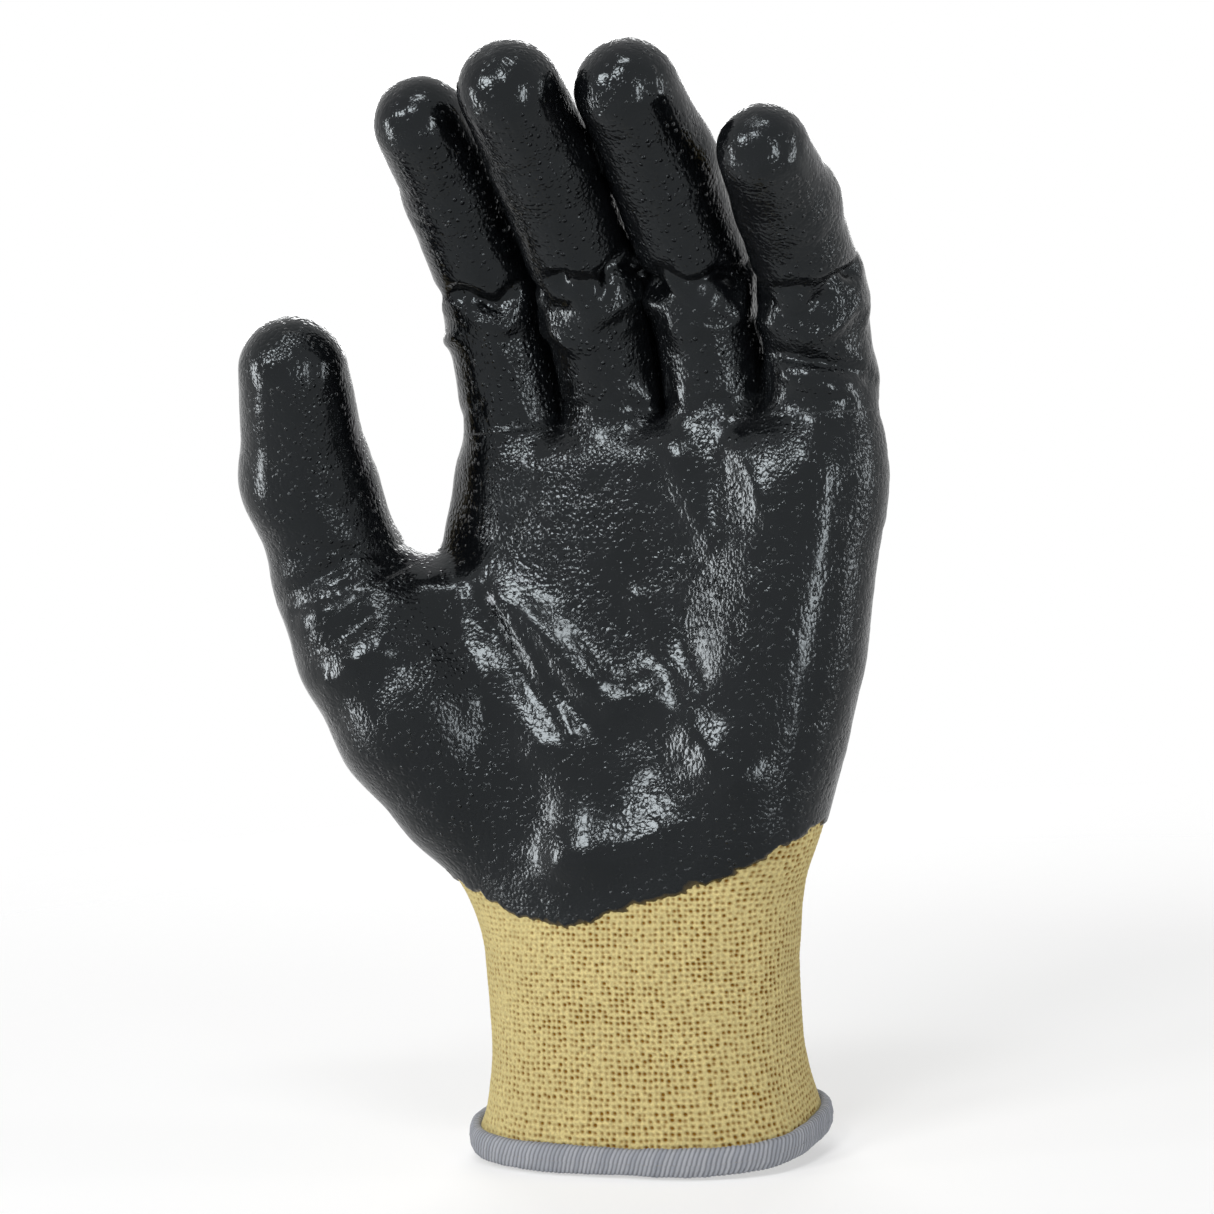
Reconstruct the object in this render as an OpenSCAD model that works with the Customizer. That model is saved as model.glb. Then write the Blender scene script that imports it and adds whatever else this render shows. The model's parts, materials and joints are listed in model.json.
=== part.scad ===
// Cut resistant work glove for the left hand, held in the curve of a relaxed hand.
// A seamless knitted liner with a ribbed cuff, a dipped coating over the palm and
// fingertips, elastic yarn laid into the cuff and an overlocked hem.
// The origin is the middle of the cuff opening, at the hem's lower edge. The fingers
// point up +Z, the palm faces -Y and the thumb is on the -X side.

/* [Fabric] */
// Thickness of the knitted liner
liner_t = 1.2; // [0.8:0.1:2]
// Thickness of the dipped coating
coat_t = 0.6; // [0.3:0.1:1.2]
// Room between the liner and the coating
layer_gap = 0.08; // [0.02:0.01:0.2]

/* [Cuff] */
// Width of the cuff at its hem
cuff_w = 75; // [60:1:90]
// Depth of the cuff at its hem, palm to back
cuff_d = 48; // [40:1:58]
// Width of the wrist
wrist_w = 66; // [54:1:80]
// Depth of the wrist, palm to back
wrist_d = 44; // [36:1:54]
// Height of the wrist's fold above the hem's lower edge
wrist_z = 34; // [30:1:46]
// How far the wrist bends each way
wrist_reach = 40; // [15:1:45]
// Height of the overlocked hem
hem_h = 6; // [4:0.5:9]
// Thread over the knit's edge on the outside
hem_out = 2; // [1:0.1:3]
// Thread over the knit's edge on the inside
hem_in = 1.2; // [0.8:0.1:2]
// Thread under the knit's edge
hem_floor = 1.6; // [1:0.1:3]
// Courses of elastic yarn laid into the cuff
elastic_n = 3; // [2:1:6]
// Thickness of the elastic yarn
elastic_d = 0.8; // [0.5:0.1:1.2]

/* [Palm] */
// Width of the palm at its widest
palm_w = 94; // [78:1:114]
// Depth of the palm at its widest
palm_d = 31; // [26:1:38]
// Height of the finger roots above the hem's lower edge
palm_z = 147; // [122:1:178]
// How far the palm's middle lies towards the little finger
palm_x = 12; // [6:0.5:18]
// Lowest point of the coating's edge on the palm
coat_z = 45; // [44:0.5:58]
// How much higher the coating's edge is at the sides of the hand
coat_rise = 24; // [8:1:32]

/* [Fingers] */
// Room between the roots of neighbouring fingers
finger_gap = 1.6; // [1:0.1:3]
// Lengths of the index finger's three sections
index_l = [24, 26, 28]; // [19:0.5:40]
// Widths of the index finger at its root, two knuckles and tip
index_w = [22.4, 21.2, 19.8, 17.8]; // [14:0.1:28]
// Bends of the index finger at rest
index_bend = [18, 17, 11]; // [5:1:30]
// Lengths of the middle finger's three sections
middle_l = [27, 30, 29]; // [19:0.5:40]
// Widths of the middle finger at its root, two knuckles and tip
middle_w = [22, 21.5, 20.5, 18.8]; // [14:0.1:28]
// Bends of the middle finger at rest
middle_bend = [25, 14, 9]; // [5:1:30]
// Lengths of the ring finger's three sections
ring_l = [25, 28, 29]; // [19:0.5:40]
// Widths of the ring finger at its root, two knuckles and tip
ring_w = [20.8, 20.8, 20.2, 18.8]; // [14:0.1:28]
// Bends of the ring finger at rest
ring_bend = [15, 20, 11]; // [5:1:30]
// Lengths of the little finger's three sections
little_l = [21, 21, 26]; // [19:0.5:40]
// Widths of the little finger at its root, two knuckles and tip
little_w = [20.8, 19.6, 18.4, 16.4]; // [14:0.1:28]
// Bends of the little finger at rest
little_bend = [18, 24, 14]; // [5:1:30]
// Sideways lean of the index, middle, ring and little fingers
finger_lean = [0, 0.5, -0.5, 4]; // [-4:0.5:6]
// Height of each finger's root fold above its seat on the palm
finger_seat = [10, 10, 9, 10]; // [9:0.5:14]
// How far the roots, middle knuckles and end knuckles bend from straight
finger_reach = [70, 80, 45]; // [30:1:80]

/* [Thumb] */
// Lengths of the thenar, and of the thumb's two sections
thumb_l = [58, 24, 37]; // [22:0.5:68]
// Widths of the thumb at its root, knuckle and tip
thumb_w = [29.6, 26.8, 21.6]; // [18:0.1:38]
// Bends of the thumb at rest
thumb_bend = [24, 18]; // [5:1:30]
// How far the thumb's root and knuckle bend from straight
thumb_reach = [55, 60]; // [30:1:65]
// How far the thenar points away from the hand
thumb_out = 30; // [20:1:40]
// How far the thenar points forward of the palm
thumb_forward = 7; // [0:1:15]
// How far the thumb's curl turns from the hand's side to the palm
thumb_turn = 25; // [10:1:40]
// Start of the thenar above the wrist's fold
thumb_up = 37; // [28:1:46]
// Start of the thenar inside the palm's side
thumb_in = 4; // [0:0.5:8]
// Width of the thenar at its fullest
thenar_w = 41; // [34:0.5:50]

/* [Hidden] */

knit_colour = [0.80, 0.68, 0.36];
coat_colour = [0.09, 0.09, 0.09];
bend_colour = [0.16, 0.15, 0.12];
hem_colour = [0.42, 0.46, 0.52];
elastic_colour = [0.88, 0.86, 0.80];

// Points round a finger and round the hand
finger_n = 16;
hand_n = 32;
// First angle round a digit, where 90 is the side that it bends to and 270 its back, and
// how many steps the coating covers
first_angle = -33.75;
coat_steps = 11;
// Steps by which the coating is turned round the thumb, so that it faces as the palm does
thumb_coat_turn = 3;
// Half of the open stretch left at a fold, before its wedge is cut away
fold_gap = 1;
// Slimming of a finger between its knuckles, and the crease in front of each
finger_waist = 0.5;
crease = 0.8;
// How much deeper than wide a finger is
depth_ratio = 1.03;
// Thread's clearance to the knit that it wraps, and the elastic's to the cuff
thread_gap = 0.1;
// Clearance between a fold and the sections that it joins
fold_seam = 0.1;
// How far a cutting solid passes the face that it cuts
over = 1;
// Shares of a section's length that have a ring, and the angles of the rings of a tip's dome
section_shares = [0, 0.5, 1];
dome_rises = [32, 64];

// Insets of the layers from the glove's outer face
liner_face = coat_t + layer_gap;
inner_face = liner_face + liner_t;

// The row of fingers, centred over the palm
finger_roots = [index_w[0], middle_w[0], ring_w[0], little_w[0]];
row_w = finger_roots[0] + finger_roots[1] + finger_roots[2] + finger_roots[3] + 3 * finger_gap;
row_x = [
    palm_x - row_w / 2 + finger_roots[0] / 2,
    palm_x - row_w / 2 + finger_roots[0] + finger_gap + finger_roots[1] / 2,
    palm_x + row_w / 2 - finger_roots[3] - finger_gap - finger_roots[2] / 2,
    palm_x + row_w / 2 - finger_roots[3] / 2
];
finger_y = 2;
cap_rim = 1.2;
cap_w = row_w + 2 * cap_rim;
cap_d = max(finger_roots) * depth_ratio + 2 * cap_rim;

// Vectors
function unit(v) = v / norm(v);
function blend(a, b, t) = a + (b - a) * t;
function ease(t) = let (c = min(max(t, 0), 1)) c * c * (3 - 2 * c);
function turned(v, axis, angle) =
    v * cos(angle) + cross(axis, v) * sin(angle) + axis * (axis * v) * (1 - cos(angle));
function sum(list, count) = count == 0 ? 0 : list[count - 1] + sum(list, count - 1);

// Faces of a grid of points: rows of n points, joined round each row, and the last row to
// the first where the wall is closed
function grid_faces(rows, n, closed) = [
    for (j = [0 : (closed ? rows : rows - 1) - 1], k = [0 : n - 1], half = [0, 1])
        let (
            a = j * n + k,
            b = j * n + (k + 1) % n,
            c = ((j + 1) % rows) * n + k,
            d = ((j + 1) % rows) * n + (k + 1) % n
        )
        half == 0 ? [a, c, d] : [a, d, b]
];

// Faces from a first and last point to the first and last row
function pole_faces(rows, n) = [
    for (k = [0 : n - 1], end = [0, 1])
        end == 0
            ? [rows * n, k, (k + 1) % n]
            : [(rows - 1) * n + k, rows * n + 1, (rows - 1) * n + (k + 1) % n]
];

// Faces that close the two ends of a strip whose loops run out and back
function strip_ends(rows, n) = [
    for (k = [0 : n / 2 - 2], half = [0, 1], end = [0, 1])
        let (a = k, b = k + 1, c = n - 2 - k, d = n - 1 - k, top = (rows - 1) * n)
        end == 0
            ? (half == 0 ? [a, b, c] : [a, c, d])
            : (half == 0 ? [top + a, top + c, top + b] : [top + a, top + d, top + c])
];

function flat(rows) = [for (row = rows, p = row) p];
function reversed(list) = [for (i = [len(list) - 1 : -1 : 0]) list[i]];

// A tube with a wall, from the outer rings and the inner rings
module tube(outer, inner) {
    rows = concat(outer, reversed(inner));
    polyhedron(flat(rows), grid_faces(len(rows), len(rows[0]), true));
}

// A solid between two end points, through rings
module loft(rows, first, last) {
    n = len(rows[0]);
    faces = concat(grid_faces(len(rows), n, false), pole_faces(len(rows), n));
    polyhedron(concat(flat(rows), [first, last]), faces);
}

// A strip of wall, from loops that run out along its outer face and back along its inner
module strip(rows) {
    n = len(rows[0]);
    faces = concat(grid_faces(len(rows), n, false), strip_ends(len(rows), n));
    polyhedron(flat(rows), faces);
}

// A digit is [root fold, carrier's direction, fold axis, seat, directions, lengths, widths,
// half angles of the folds, turn of its coating]
function digit_root(d) = d[0];
function digit_carrier(d) = d[1];
function digit_axis(d) = d[2];
function digit_seat(d) = d[3];
function digit_direction(d, i) = d[4][i];
function digit_length(d, i) = d[5][i];
function digit_half(d, i) = d[6][i] / 2;
function digit_fold(d, i) = d[7][i];
function digit_coat_turn(d) = d[8];
function digit_joint(d, i) =
    i == 0 ? digit_root(d) : digit_joint(d, i - 1) + digit_direction(d, i - 1) * digit_length(d, i - 1);

function chain(start, axis, bends) =
    [for (i = [0 : len(bends) - 1]) turned(start, axis, sum(bends, i + 1))];

function finger(i, lengths, widths, bends) = [
    [row_x[i], finger_y, palm_z + finger_seat[i]],
    [0, 0, 1],
    [1, 0, 0],
    finger_seat[i],
    chain([sin(finger_lean[i]), 0, cos(finger_lean[i])], [1, 0, 0], bends),
    lengths,
    widths,
    finger_reach / 2,
    0
];

index = finger(0, index_l, index_w, index_bend);
middle = finger(1, middle_l, middle_w, middle_bend);
ring = finger(2, ring_l, ring_w, ring_bend);
little = finger(3, little_l, little_w, little_bend);

// The thenar runs from the palm's side to the thumb's root fold
thenar_direction = [
    -sin(thumb_out) * cos(thumb_forward),
    -sin(thumb_forward),
    cos(thumb_out) * cos(thumb_forward)
];
thenar_y = -4;
thenar_start = [palm_x - palm_w / 2 + thumb_in, thenar_y, wrist_z + thumb_up];
thumb_root = thenar_start + thenar_direction * thumb_l[0];
thumb_curl = [cos(thumb_turn), -sin(thumb_turn), 0];
thumb_axis = unit(cross(thenar_direction, thumb_curl));
thumb_seat = fold_gap + thumb_w[0] / 2 * tan(thumb_reach[0] / 2);
thumb = [
    thumb_root,
    thenar_direction,
    thumb_axis,
    thumb_seat,
    chain(thenar_direction, thumb_axis, thumb_bend),
    [thumb_l[1], thumb_l[2]],
    thumb_w,
    thumb_reach / 2,
    thumb_coat_turn
];

// Angle of point k round a digit, and whether the digit's coating covers it
function finger_angle(k) = first_angle + k * 360 / finger_n;
function coated(d, k) = (k + digit_coat_turn(d)) % finger_n <= coat_steps;

// The palm side of a section, and its side towards the thumb
function palmward(axis, direction) = unit(cross(axis, direction));
function sideward(axis, direction) = cross(palmward(axis, direction), direction);

// How far a section is cut back at fold i, for the point with angle a
function cut_back(d, i, inset, a) =
    fold_gap + max(0, (digit_half(d, i) * depth_ratio - inset) * sin(a)) * tan(digit_fold(d, i));

// A point of a ring round a section's axis
function ring_point(centre, axis, direction, half, inset, a) =
    centre + sideward(axis, direction) * (half - inset) * cos(a)
        + palmward(axis, direction) * (half * depth_ratio - inset) * sin(a);

// A point of section i, at the share u of its length between its two folds
function section_point(d, i, u, k, inset) =
    let (
        a = finger_angle(k),
        start = cut_back(d, i, inset, a),
        end = digit_length(d, i) - cut_back(d, i + 1, inset, a),
        along = blend(start, end, u),
        share = along / digit_length(d, i),
        half = blend(digit_half(d, i), digit_half(d, i + 1), share) - finger_waist * sin(180 * share),
        centre = digit_joint(d, i) + digit_direction(d, i) * along
    )
    ring_point(centre, digit_axis(d), digit_direction(d, i), half, inset, a);

// The last section ends in a dome, which starts one half width before the tip
function dome_start(d) =
    let (last = len(d[5]) - 1) digit_length(d, last) - digit_half(d, last + 1);

// A point of the last section below its dome; back_cut moves its start on the finger's back
function tip_point(d, u, k, inset, back_cut) =
    let (
        i = len(d[5]) - 1,
        a = finger_angle(k),
        start = cut_back(d, i, inset, a) + back_cut * max(0, -sin(a)),
        along = blend(start, dome_start(d), u),
        half = blend(digit_half(d, i), digit_half(d, i + 1), along / dome_start(d)),
        centre = digit_joint(d, i) + digit_direction(d, i) * along
    )
    ring_point(centre, digit_axis(d), digit_direction(d, i), half, inset, a);

// A ring of the dome, at the angle rise from its start to its end
function dome_ring(d, rise, inset) =
    let (
        i = len(d[5]) - 1,
        half = digit_half(d, i + 1),
        along = dome_start(d) + (half - inset) * sin(rise),
        centre = digit_joint(d, i) + digit_direction(d, i) * along
    )
    [for (k = [0 : finger_n - 1])
        let (a = finger_angle(k))
        centre + (ring_point(centre, digit_axis(d), digit_direction(d, i), half, inset, a) - centre) * cos(rise)];

function tip_end(d, inset) =
    let (i = len(d[5]) - 1)
    digit_joint(d, i) + digit_direction(d, i) * (digit_length(d, i) - inset);

function tip_rings(d, inset, back_cut) = concat(
    [for (u = section_shares) [for (k = [0 : finger_n - 1]) tip_point(d, u, k, inset, back_cut)]],
    [for (rise = dome_rises) dome_ring(d, rise, inset)]
);

function section_rings(d, i, inset) =
    [for (u = section_shares) [for (k = [0 : finger_n - 1]) section_point(d, i, u, k, inset)]];

// Insets of a fold's outer face: proud where the coating covers it
function fold_inset(d, k) = coated(d, k) ? 0 : liner_face;

// Rings where a fold meets the section before it and the section after it
function ring_before(d, i, inset) =
    [for (k = [0 : finger_n - 1])
        i == 0
            ? ring_point(digit_root(d) - digit_carrier(d) * (digit_seat(d) - fold_seam), digit_axis(d),
                digit_carrier(d), digit_half(d, 0), inset[k], finger_angle(k))
            : section_point(d, i - 1, 1, k, inset[k]) + digit_direction(d, i - 1) * fold_seam];
function ring_after(d, i, inset) =
    let (last = len(d[5]) - 1)
    [for (k = [0 : finger_n - 1])
        (i == last ? tip_point(d, 0, k, inset[k], 0) : section_point(d, i, 0, k, inset[k]))
            - digit_direction(d, i) * fold_seam];

// The ring in the fold itself, dented by the crease on its palm side
function ring_between(d, i, inset) =
    let (before = i == 0 ? digit_carrier(d) : digit_direction(d, i - 1))
    [for (k = [0 : finger_n - 1])
        let (a = finger_angle(k))
        ring_point(digit_joint(d, i), digit_axis(d), unit(before + digit_direction(d, i)), digit_half(d, i),
            inset[k] + crease * max(0, sin(a)), a)];

function fold_rings(d, i, inset) = [ring_before(d, i, inset), ring_between(d, i, inset), ring_after(d, i, inset)];

// The knit and coating together where a digit bends
module bend(d, i) {
    outer = [for (k = [0 : finger_n - 1]) fold_inset(d, k)];
    inner = [for (k = [0 : finger_n - 1]) inner_face];
    color(bend_colour) tube(fold_rings(d, i, outer), fold_rings(d, i, inner));
}

// The knitted tube of a section between two folds
module section_liner(d, i) {
    color(knit_colour) tube(section_rings(d, i, liner_face), section_rings(d, i, inner_face));
}

// The coating on the palm side of a section
module section_coating(d, i) {
    covered = [for (step = [0 : coat_steps]) step - digit_coat_turn(d)];
    color(coat_colour)
        strip([for (u = section_shares)
            concat(
                [for (k = covered) section_point(d, i, u, k, 0)],
                [for (k = reversed(covered)) section_point(d, i, u, k, coat_t)]
            )]);
}

// A thimble from its outer and inner rings
module thimble(outer, inner, outer_tip, inner_tip) {
    loft(concat(reversed(inner), outer), inner_tip, outer_tip);
}

module tip_liner(d) {
    color(knit_colour)
        thimble(tip_rings(d, liner_face, 0), tip_rings(d, inner_face, 0), tip_end(d, liner_face), tip_end(d, inner_face));
}

// The coating goes right round a fingertip and starts further up on its back
back_bare = 8;
module tip_coating(d) {
    color(coat_colour)
        thimble(tip_rings(d, 0, back_bare), tip_rings(d, coat_t, back_bare), tip_end(d, 0), tip_end(d, coat_t));
}

// An oval ring of the hand: its angle 0 is the thumb's side, and 90 the palm
function oval(centre, half_w, half_d, inset, rise) = [
    for (k = [0 : hand_n - 1])
        let (a = k * 360 / hand_n, y = -(half_d - inset) * sin(a))
        [centre.x - (half_w - inset) * cos(a), centre.y + y, centre.z + rise * abs(y)]
];

wrist_slope = tan(wrist_reach / 2);

// The palm's outline at the share u of its height above the wrist's fold, with the shares at
// which it is widest and has moved over to the fingers
palm_widest = 0.8;
palm_moved = 0.85;
function palm_half(u, wrist, palm, cap) =
    u < palm_widest
        ? blend(wrist, palm, ease(u / palm_widest)) / 2
        : blend(palm, cap, ease((u - palm_widest) / (1 - palm_widest))) / 2;
function palm_half_w(u) = palm_half(u, wrist_w, palm_w, cap_w);
function palm_half_d(u) = palm_half(u, wrist_d, palm_d, cap_d);
function palm_middle(u) =
    [palm_x * ease(u / palm_moved), finger_y * ease(u), blend(wrist_z, palm_z, u)];

palm_shares = [0.12, 0.24, 0.38, 0.54, 0.7, 0.86];

// The palm's rings from its wedge-cut lower edge to its flat top
function palm_rings(inset, below, above) = concat(
    [for (lift = below == 0 ? [0] : [-below, below])
        oval([0, 0, wrist_z + fold_gap + lift], wrist_w / 2, wrist_d / 2, inset, wrist_slope)],
    [for (u = palm_shares) oval(palm_middle(u), palm_half_w(u), palm_half_d(u), inset, 0)],
    [oval(palm_middle(1) + [0, 0, above], cap_w / 2, cap_d / 2, inset, 0)]
);

module palm_solid(inset, below, above) {
    rings = palm_rings(inset, below, above);
    loft(rings, [0, 0, wrist_z + fold_gap - below], palm_middle(1) + [0, 0, above]);
}

// The thenar's rings along its axis, as [share of its length, half width]
thenar_end = thumb_l[0] - thumb_seat;
thenar_shape = [
    [-0.6, thenar_w * 0.24], [-0.25, thenar_w * 0.37], [0.1, thenar_w * 0.46], [0.42, thenar_w / 2],
    [0.75, thenar_w * 0.48], [1, thumb_w[0] / 2]
];
thenar_top = [thenar_shape[4], thenar_shape[5]];

function thenar_ring(share, half, inset, beyond) = [
    for (k = [0 : finger_n - 1])
        ring_point(thenar_start + thenar_direction * (share * thenar_end + beyond), thumb_axis, thenar_direction,
            half, inset, finger_angle(k))
];

module thenar_solid(inset, beyond) {
    rings = [for (row = thenar_shape) thenar_ring(row[0], row[1], inset, row[0] == 1 ? beyond : 0)];
    first = thenar_start + thenar_direction * thenar_shape[0][0] * thenar_end;
    last = thenar_start + thenar_direction * (thenar_end + beyond);
    loft(rings, first, last);
}

// The web in the crook of the thumb, drawn from the thenar's upper end to the palm's side:
// its height, half width and half depth there, its inset from the side, and its rise over
// the thenar's end
web_h = 14;
web_w = 8;
web_d = 10;
web_in = 1;
web_rise = 3;
web_top = thumb_root.z - thumb_seat + web_rise;

function web_ring(z, inset) = [
    for (k = [0 : finger_n - 1])
        let (a = finger_angle(k))
        [palm_x - palm_w / 2 + web_in + web_w + (web_w - inset) * cos(a), (web_d - inset) * sin(a), z]
];

module web_solid(inset) {
    lower = web_ring(web_top - web_h, inset);
    upper = web_ring(web_top - inset, inset);
    hull() {
        loft([lower, upper], lower[0], upper[0]);
        loft([for (row = thenar_top) thenar_ring(row[0], row[1], inset, 0)],
            thenar_start + thenar_direction * thenar_end * thenar_top[0][0],
            thenar_start + thenar_direction * thenar_end * thenar_top[1][0]);
    }
}

// The hole under a finger's root
module finger_hole(d) {
    seat = digit_root(d) - [0, 0, digit_seat(d)];
    rings = [for (lift = [-liner_t - over, over])
        [for (k = [0 : finger_n - 1])
            ring_point(seat + [0, 0, lift], digit_axis(d), [0, 0, 1], digit_half(d, 0), inner_face, finger_angle(k))]];
    loft(rings, seat - [0, 0, liner_t + over], seat + [0, 0, over]);
}

// The knit of the palm, back of the hand and thenar
module palm_liner() {
    color(knit_colour)
        difference() {
            union() {
                palm_solid(liner_face, 0, 0);
                thenar_solid(liner_face, 0);
                web_solid(liner_face);
            }
            palm_solid(inner_face, over, -liner_t);
            thenar_solid(inner_face, over);
            web_solid(inner_face);
            for (d = [index, middle, ring, little]) finger_hole(d);
        }
}

// The coated side of the hand, above the coating's edge, which curves up to the hand's sides:
// how far it goes round them, and its edge's points in half widths from the palm's middle
coat_side_y = 5;
coat_reach = 100;
edge_steps = [-2 : 0.2 : 1.6];
module coated_region() {
    edge = [for (s = edge_steps) [palm_x + s * palm_w / 2, coat_z + coat_rise * min(s * s, 1)]];
    rotate([90, 0, 0])
        translate([0, 0, -coat_side_y])
            linear_extrude(coat_reach)
                polygon(concat(edge, [[edge[len(edge) - 1].x, palm_z + coat_reach], [edge[0].x, palm_z + coat_reach]]));
}

// The dipped coating of the palm and thenar
module palm_coating() {
    color(coat_colour)
        intersection() {
            difference() {
                union() {
                    palm_solid(0, 0, 0);
                    thenar_solid(0, 0);
                    web_solid(0);
                }
                palm_solid(coat_t, over, over);
                thenar_solid(coat_t, over);
                web_solid(coat_t);
            }
            coated_region();
        }
}

// The knit and its cuff where the wrist bends
module wrist_bend() {
    lower = [0, 0, wrist_z - fold_gap + fold_seam];
    upper = [0, 0, wrist_z + fold_gap - fold_seam];
    function rings(inset) = [
        oval(lower, wrist_w / 2, wrist_d / 2, inset, -wrist_slope),
        oval([0, 0, wrist_z], wrist_w / 2, wrist_d / 2, inset, 0),
        oval(upper, wrist_w / 2, wrist_d / 2, inset, wrist_slope)
    ];
    color(knit_colour) tube(rings(liner_face), rings(inner_face));
}

// Share of the wrist's height over which the cuff narrows, shares that have a ring above the
// hem, and the heights of all rings
cuff_taper = 0.7;
cuff_shares = [0.36, 0.55];
cuff_levels = concat([hem_floor + thread_gap, hem_h], wrist_z * cuff_shares);

// Size of the cuff at a height below the wrist
function cuff_half(full, wrist, z) = blend(full, wrist, ease(z / (wrist_z * cuff_taper))) / 2;
function cuff_oval(z, inset) =
    oval([0, 0, z], cuff_half(cuff_w, wrist_w, z), cuff_half(cuff_d, wrist_d, z), inset, 0);

module cuff_knit() {
    function rings(inset) = concat(
        [for (z = cuff_levels) cuff_oval(z, inset)],
        [oval([0, 0, wrist_z - fold_gap], wrist_w / 2, wrist_d / 2, inset, -wrist_slope)]
    );
    color(knit_colour) tube(rings(liner_face), rings(inner_face));
}

// The overlock thread: a channel of thread round the knit's lower edge, as [inset, height]
hem_round = 0.6;
module cuff_hem() {
    groove_out = liner_face - thread_gap;
    groove_in = inner_face + thread_gap;
    out = liner_face - hem_out;
    in = inner_face + hem_in;
    round = hem_floor * hem_round;
    profile = [
        [groove_out, hem_h], [groove_out, hem_floor], [groove_in, hem_floor], [groove_in, hem_h],
        [in - round / 2, hem_h], [in, hem_h - round], [in, round], [in - round, 0],
        [out + round, 0], [out, round], [out, hem_h - round], [out + round, hem_h]
    ];
    color(hem_colour) tube([for (p = profile) cuff_oval(p[1], p[0])], []);
}

// Elastic yarn laid along the inside of the cuff, course by course
module cuff_elastic() {
    pitch = (cuff_levels[3] - hem_h) / (elastic_n + 1);
    face = inner_face + thread_gap;
    for (course = [1 : elastic_n]) {
        z = hem_h + course * pitch;
        profile = [[face, 0], [face + elastic_d / 2, -elastic_d / 2], [face + elastic_d, 0],
            [face + elastic_d / 2, elastic_d / 2]];
        color(elastic_colour) tube([for (p = profile) cuff_oval(z + p[1], p[0])], []);
    }
}

cuff_knit();
cuff_elastic();
cuff_hem();
wrist_bend();
palm_liner();
palm_coating();

bend(index, 0);  // index_root_bend
section_liner(index, 0);  // index_proximal_liner
section_coating(index, 0);  // index_proximal_coating
bend(index, 1);  // index_middle_bend
section_liner(index, 1);  // index_middle_liner
section_coating(index, 1);  // index_middle_coating
bend(index, 2);  // index_tip_bend
tip_liner(index);  // index_tip_liner
tip_coating(index);  // index_tip_coating

bend(middle, 0);  // middle_root_bend
section_liner(middle, 0);  // middle_proximal_liner
section_coating(middle, 0);  // middle_proximal_coating
bend(middle, 1);  // middle_middle_bend
section_liner(middle, 1);  // middle_middle_liner
section_coating(middle, 1);  // middle_middle_coating
bend(middle, 2);  // middle_tip_bend
tip_liner(middle);  // middle_tip_liner
tip_coating(middle);  // middle_tip_coating

bend(ring, 0);  // ring_root_bend
section_liner(ring, 0);  // ring_proximal_liner
section_coating(ring, 0);  // ring_proximal_coating
bend(ring, 1);  // ring_middle_bend
section_liner(ring, 1);  // ring_middle_liner
section_coating(ring, 1);  // ring_middle_coating
bend(ring, 2);  // ring_tip_bend
tip_liner(ring);  // ring_tip_liner
tip_coating(ring);  // ring_tip_coating

bend(little, 0);  // little_root_bend
section_liner(little, 0);  // little_proximal_liner
section_coating(little, 0);  // little_proximal_coating
bend(little, 1);  // little_middle_bend
section_liner(little, 1);  // little_middle_liner
section_coating(little, 1);  // little_middle_coating
bend(little, 2);  // little_tip_bend
tip_liner(little);  // little_tip_liner
tip_coating(little);  // little_tip_coating

bend(thumb, 0);  // thumb_root_bend
section_liner(thumb, 0);  // thumb_proximal_liner
section_coating(thumb, 0);  // thumb_proximal_coating
bend(thumb, 1);  // thumb_tip_bend
tip_liner(thumb);  // thumb_tip_liner
tip_coating(thumb);  // thumb_tip_coating
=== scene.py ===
"""The looks of a cut resistant glove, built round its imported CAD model.

The glove's outer surface is one implicit form: tapered digits, a lofted palm and cuff, a thenar and a web.
It is meshed once, sculpted with the folds that a worn glove has, and parted into pieces at the middle of
each section, so that every piece crosses one fold at most. Lengths are in millimetres until a mesh is made.
"""
import json
import math

import bpy
import numpy as np
import openvdb
from mathutils import Matrix, Vector


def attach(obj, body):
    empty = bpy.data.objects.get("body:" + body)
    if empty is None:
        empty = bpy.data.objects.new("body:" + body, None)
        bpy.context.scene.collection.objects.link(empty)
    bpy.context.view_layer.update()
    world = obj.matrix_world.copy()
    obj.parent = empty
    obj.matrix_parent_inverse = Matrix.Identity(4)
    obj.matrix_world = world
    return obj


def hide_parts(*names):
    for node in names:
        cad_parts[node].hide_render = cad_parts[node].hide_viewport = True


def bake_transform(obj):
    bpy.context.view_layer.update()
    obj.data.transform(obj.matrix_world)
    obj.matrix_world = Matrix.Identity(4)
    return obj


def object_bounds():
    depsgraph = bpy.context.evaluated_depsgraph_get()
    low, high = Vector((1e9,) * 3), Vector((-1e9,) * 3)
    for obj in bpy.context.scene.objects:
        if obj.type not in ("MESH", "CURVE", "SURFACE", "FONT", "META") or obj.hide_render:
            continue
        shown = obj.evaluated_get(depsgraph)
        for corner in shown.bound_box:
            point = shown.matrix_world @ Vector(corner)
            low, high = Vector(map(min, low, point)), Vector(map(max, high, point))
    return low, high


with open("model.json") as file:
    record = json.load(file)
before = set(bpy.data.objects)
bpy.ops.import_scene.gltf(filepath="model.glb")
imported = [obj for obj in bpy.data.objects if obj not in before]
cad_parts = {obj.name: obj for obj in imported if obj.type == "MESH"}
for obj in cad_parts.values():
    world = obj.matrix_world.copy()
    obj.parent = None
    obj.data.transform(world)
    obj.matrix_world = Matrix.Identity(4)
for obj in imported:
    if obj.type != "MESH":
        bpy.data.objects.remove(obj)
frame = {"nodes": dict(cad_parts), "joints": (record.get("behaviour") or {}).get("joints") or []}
cad_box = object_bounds()

MM = 0.001
FINGERS = ("index", "middle", "ring", "little")
JOINTS = {j["name"]: j for j in frame["joints"]}

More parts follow.
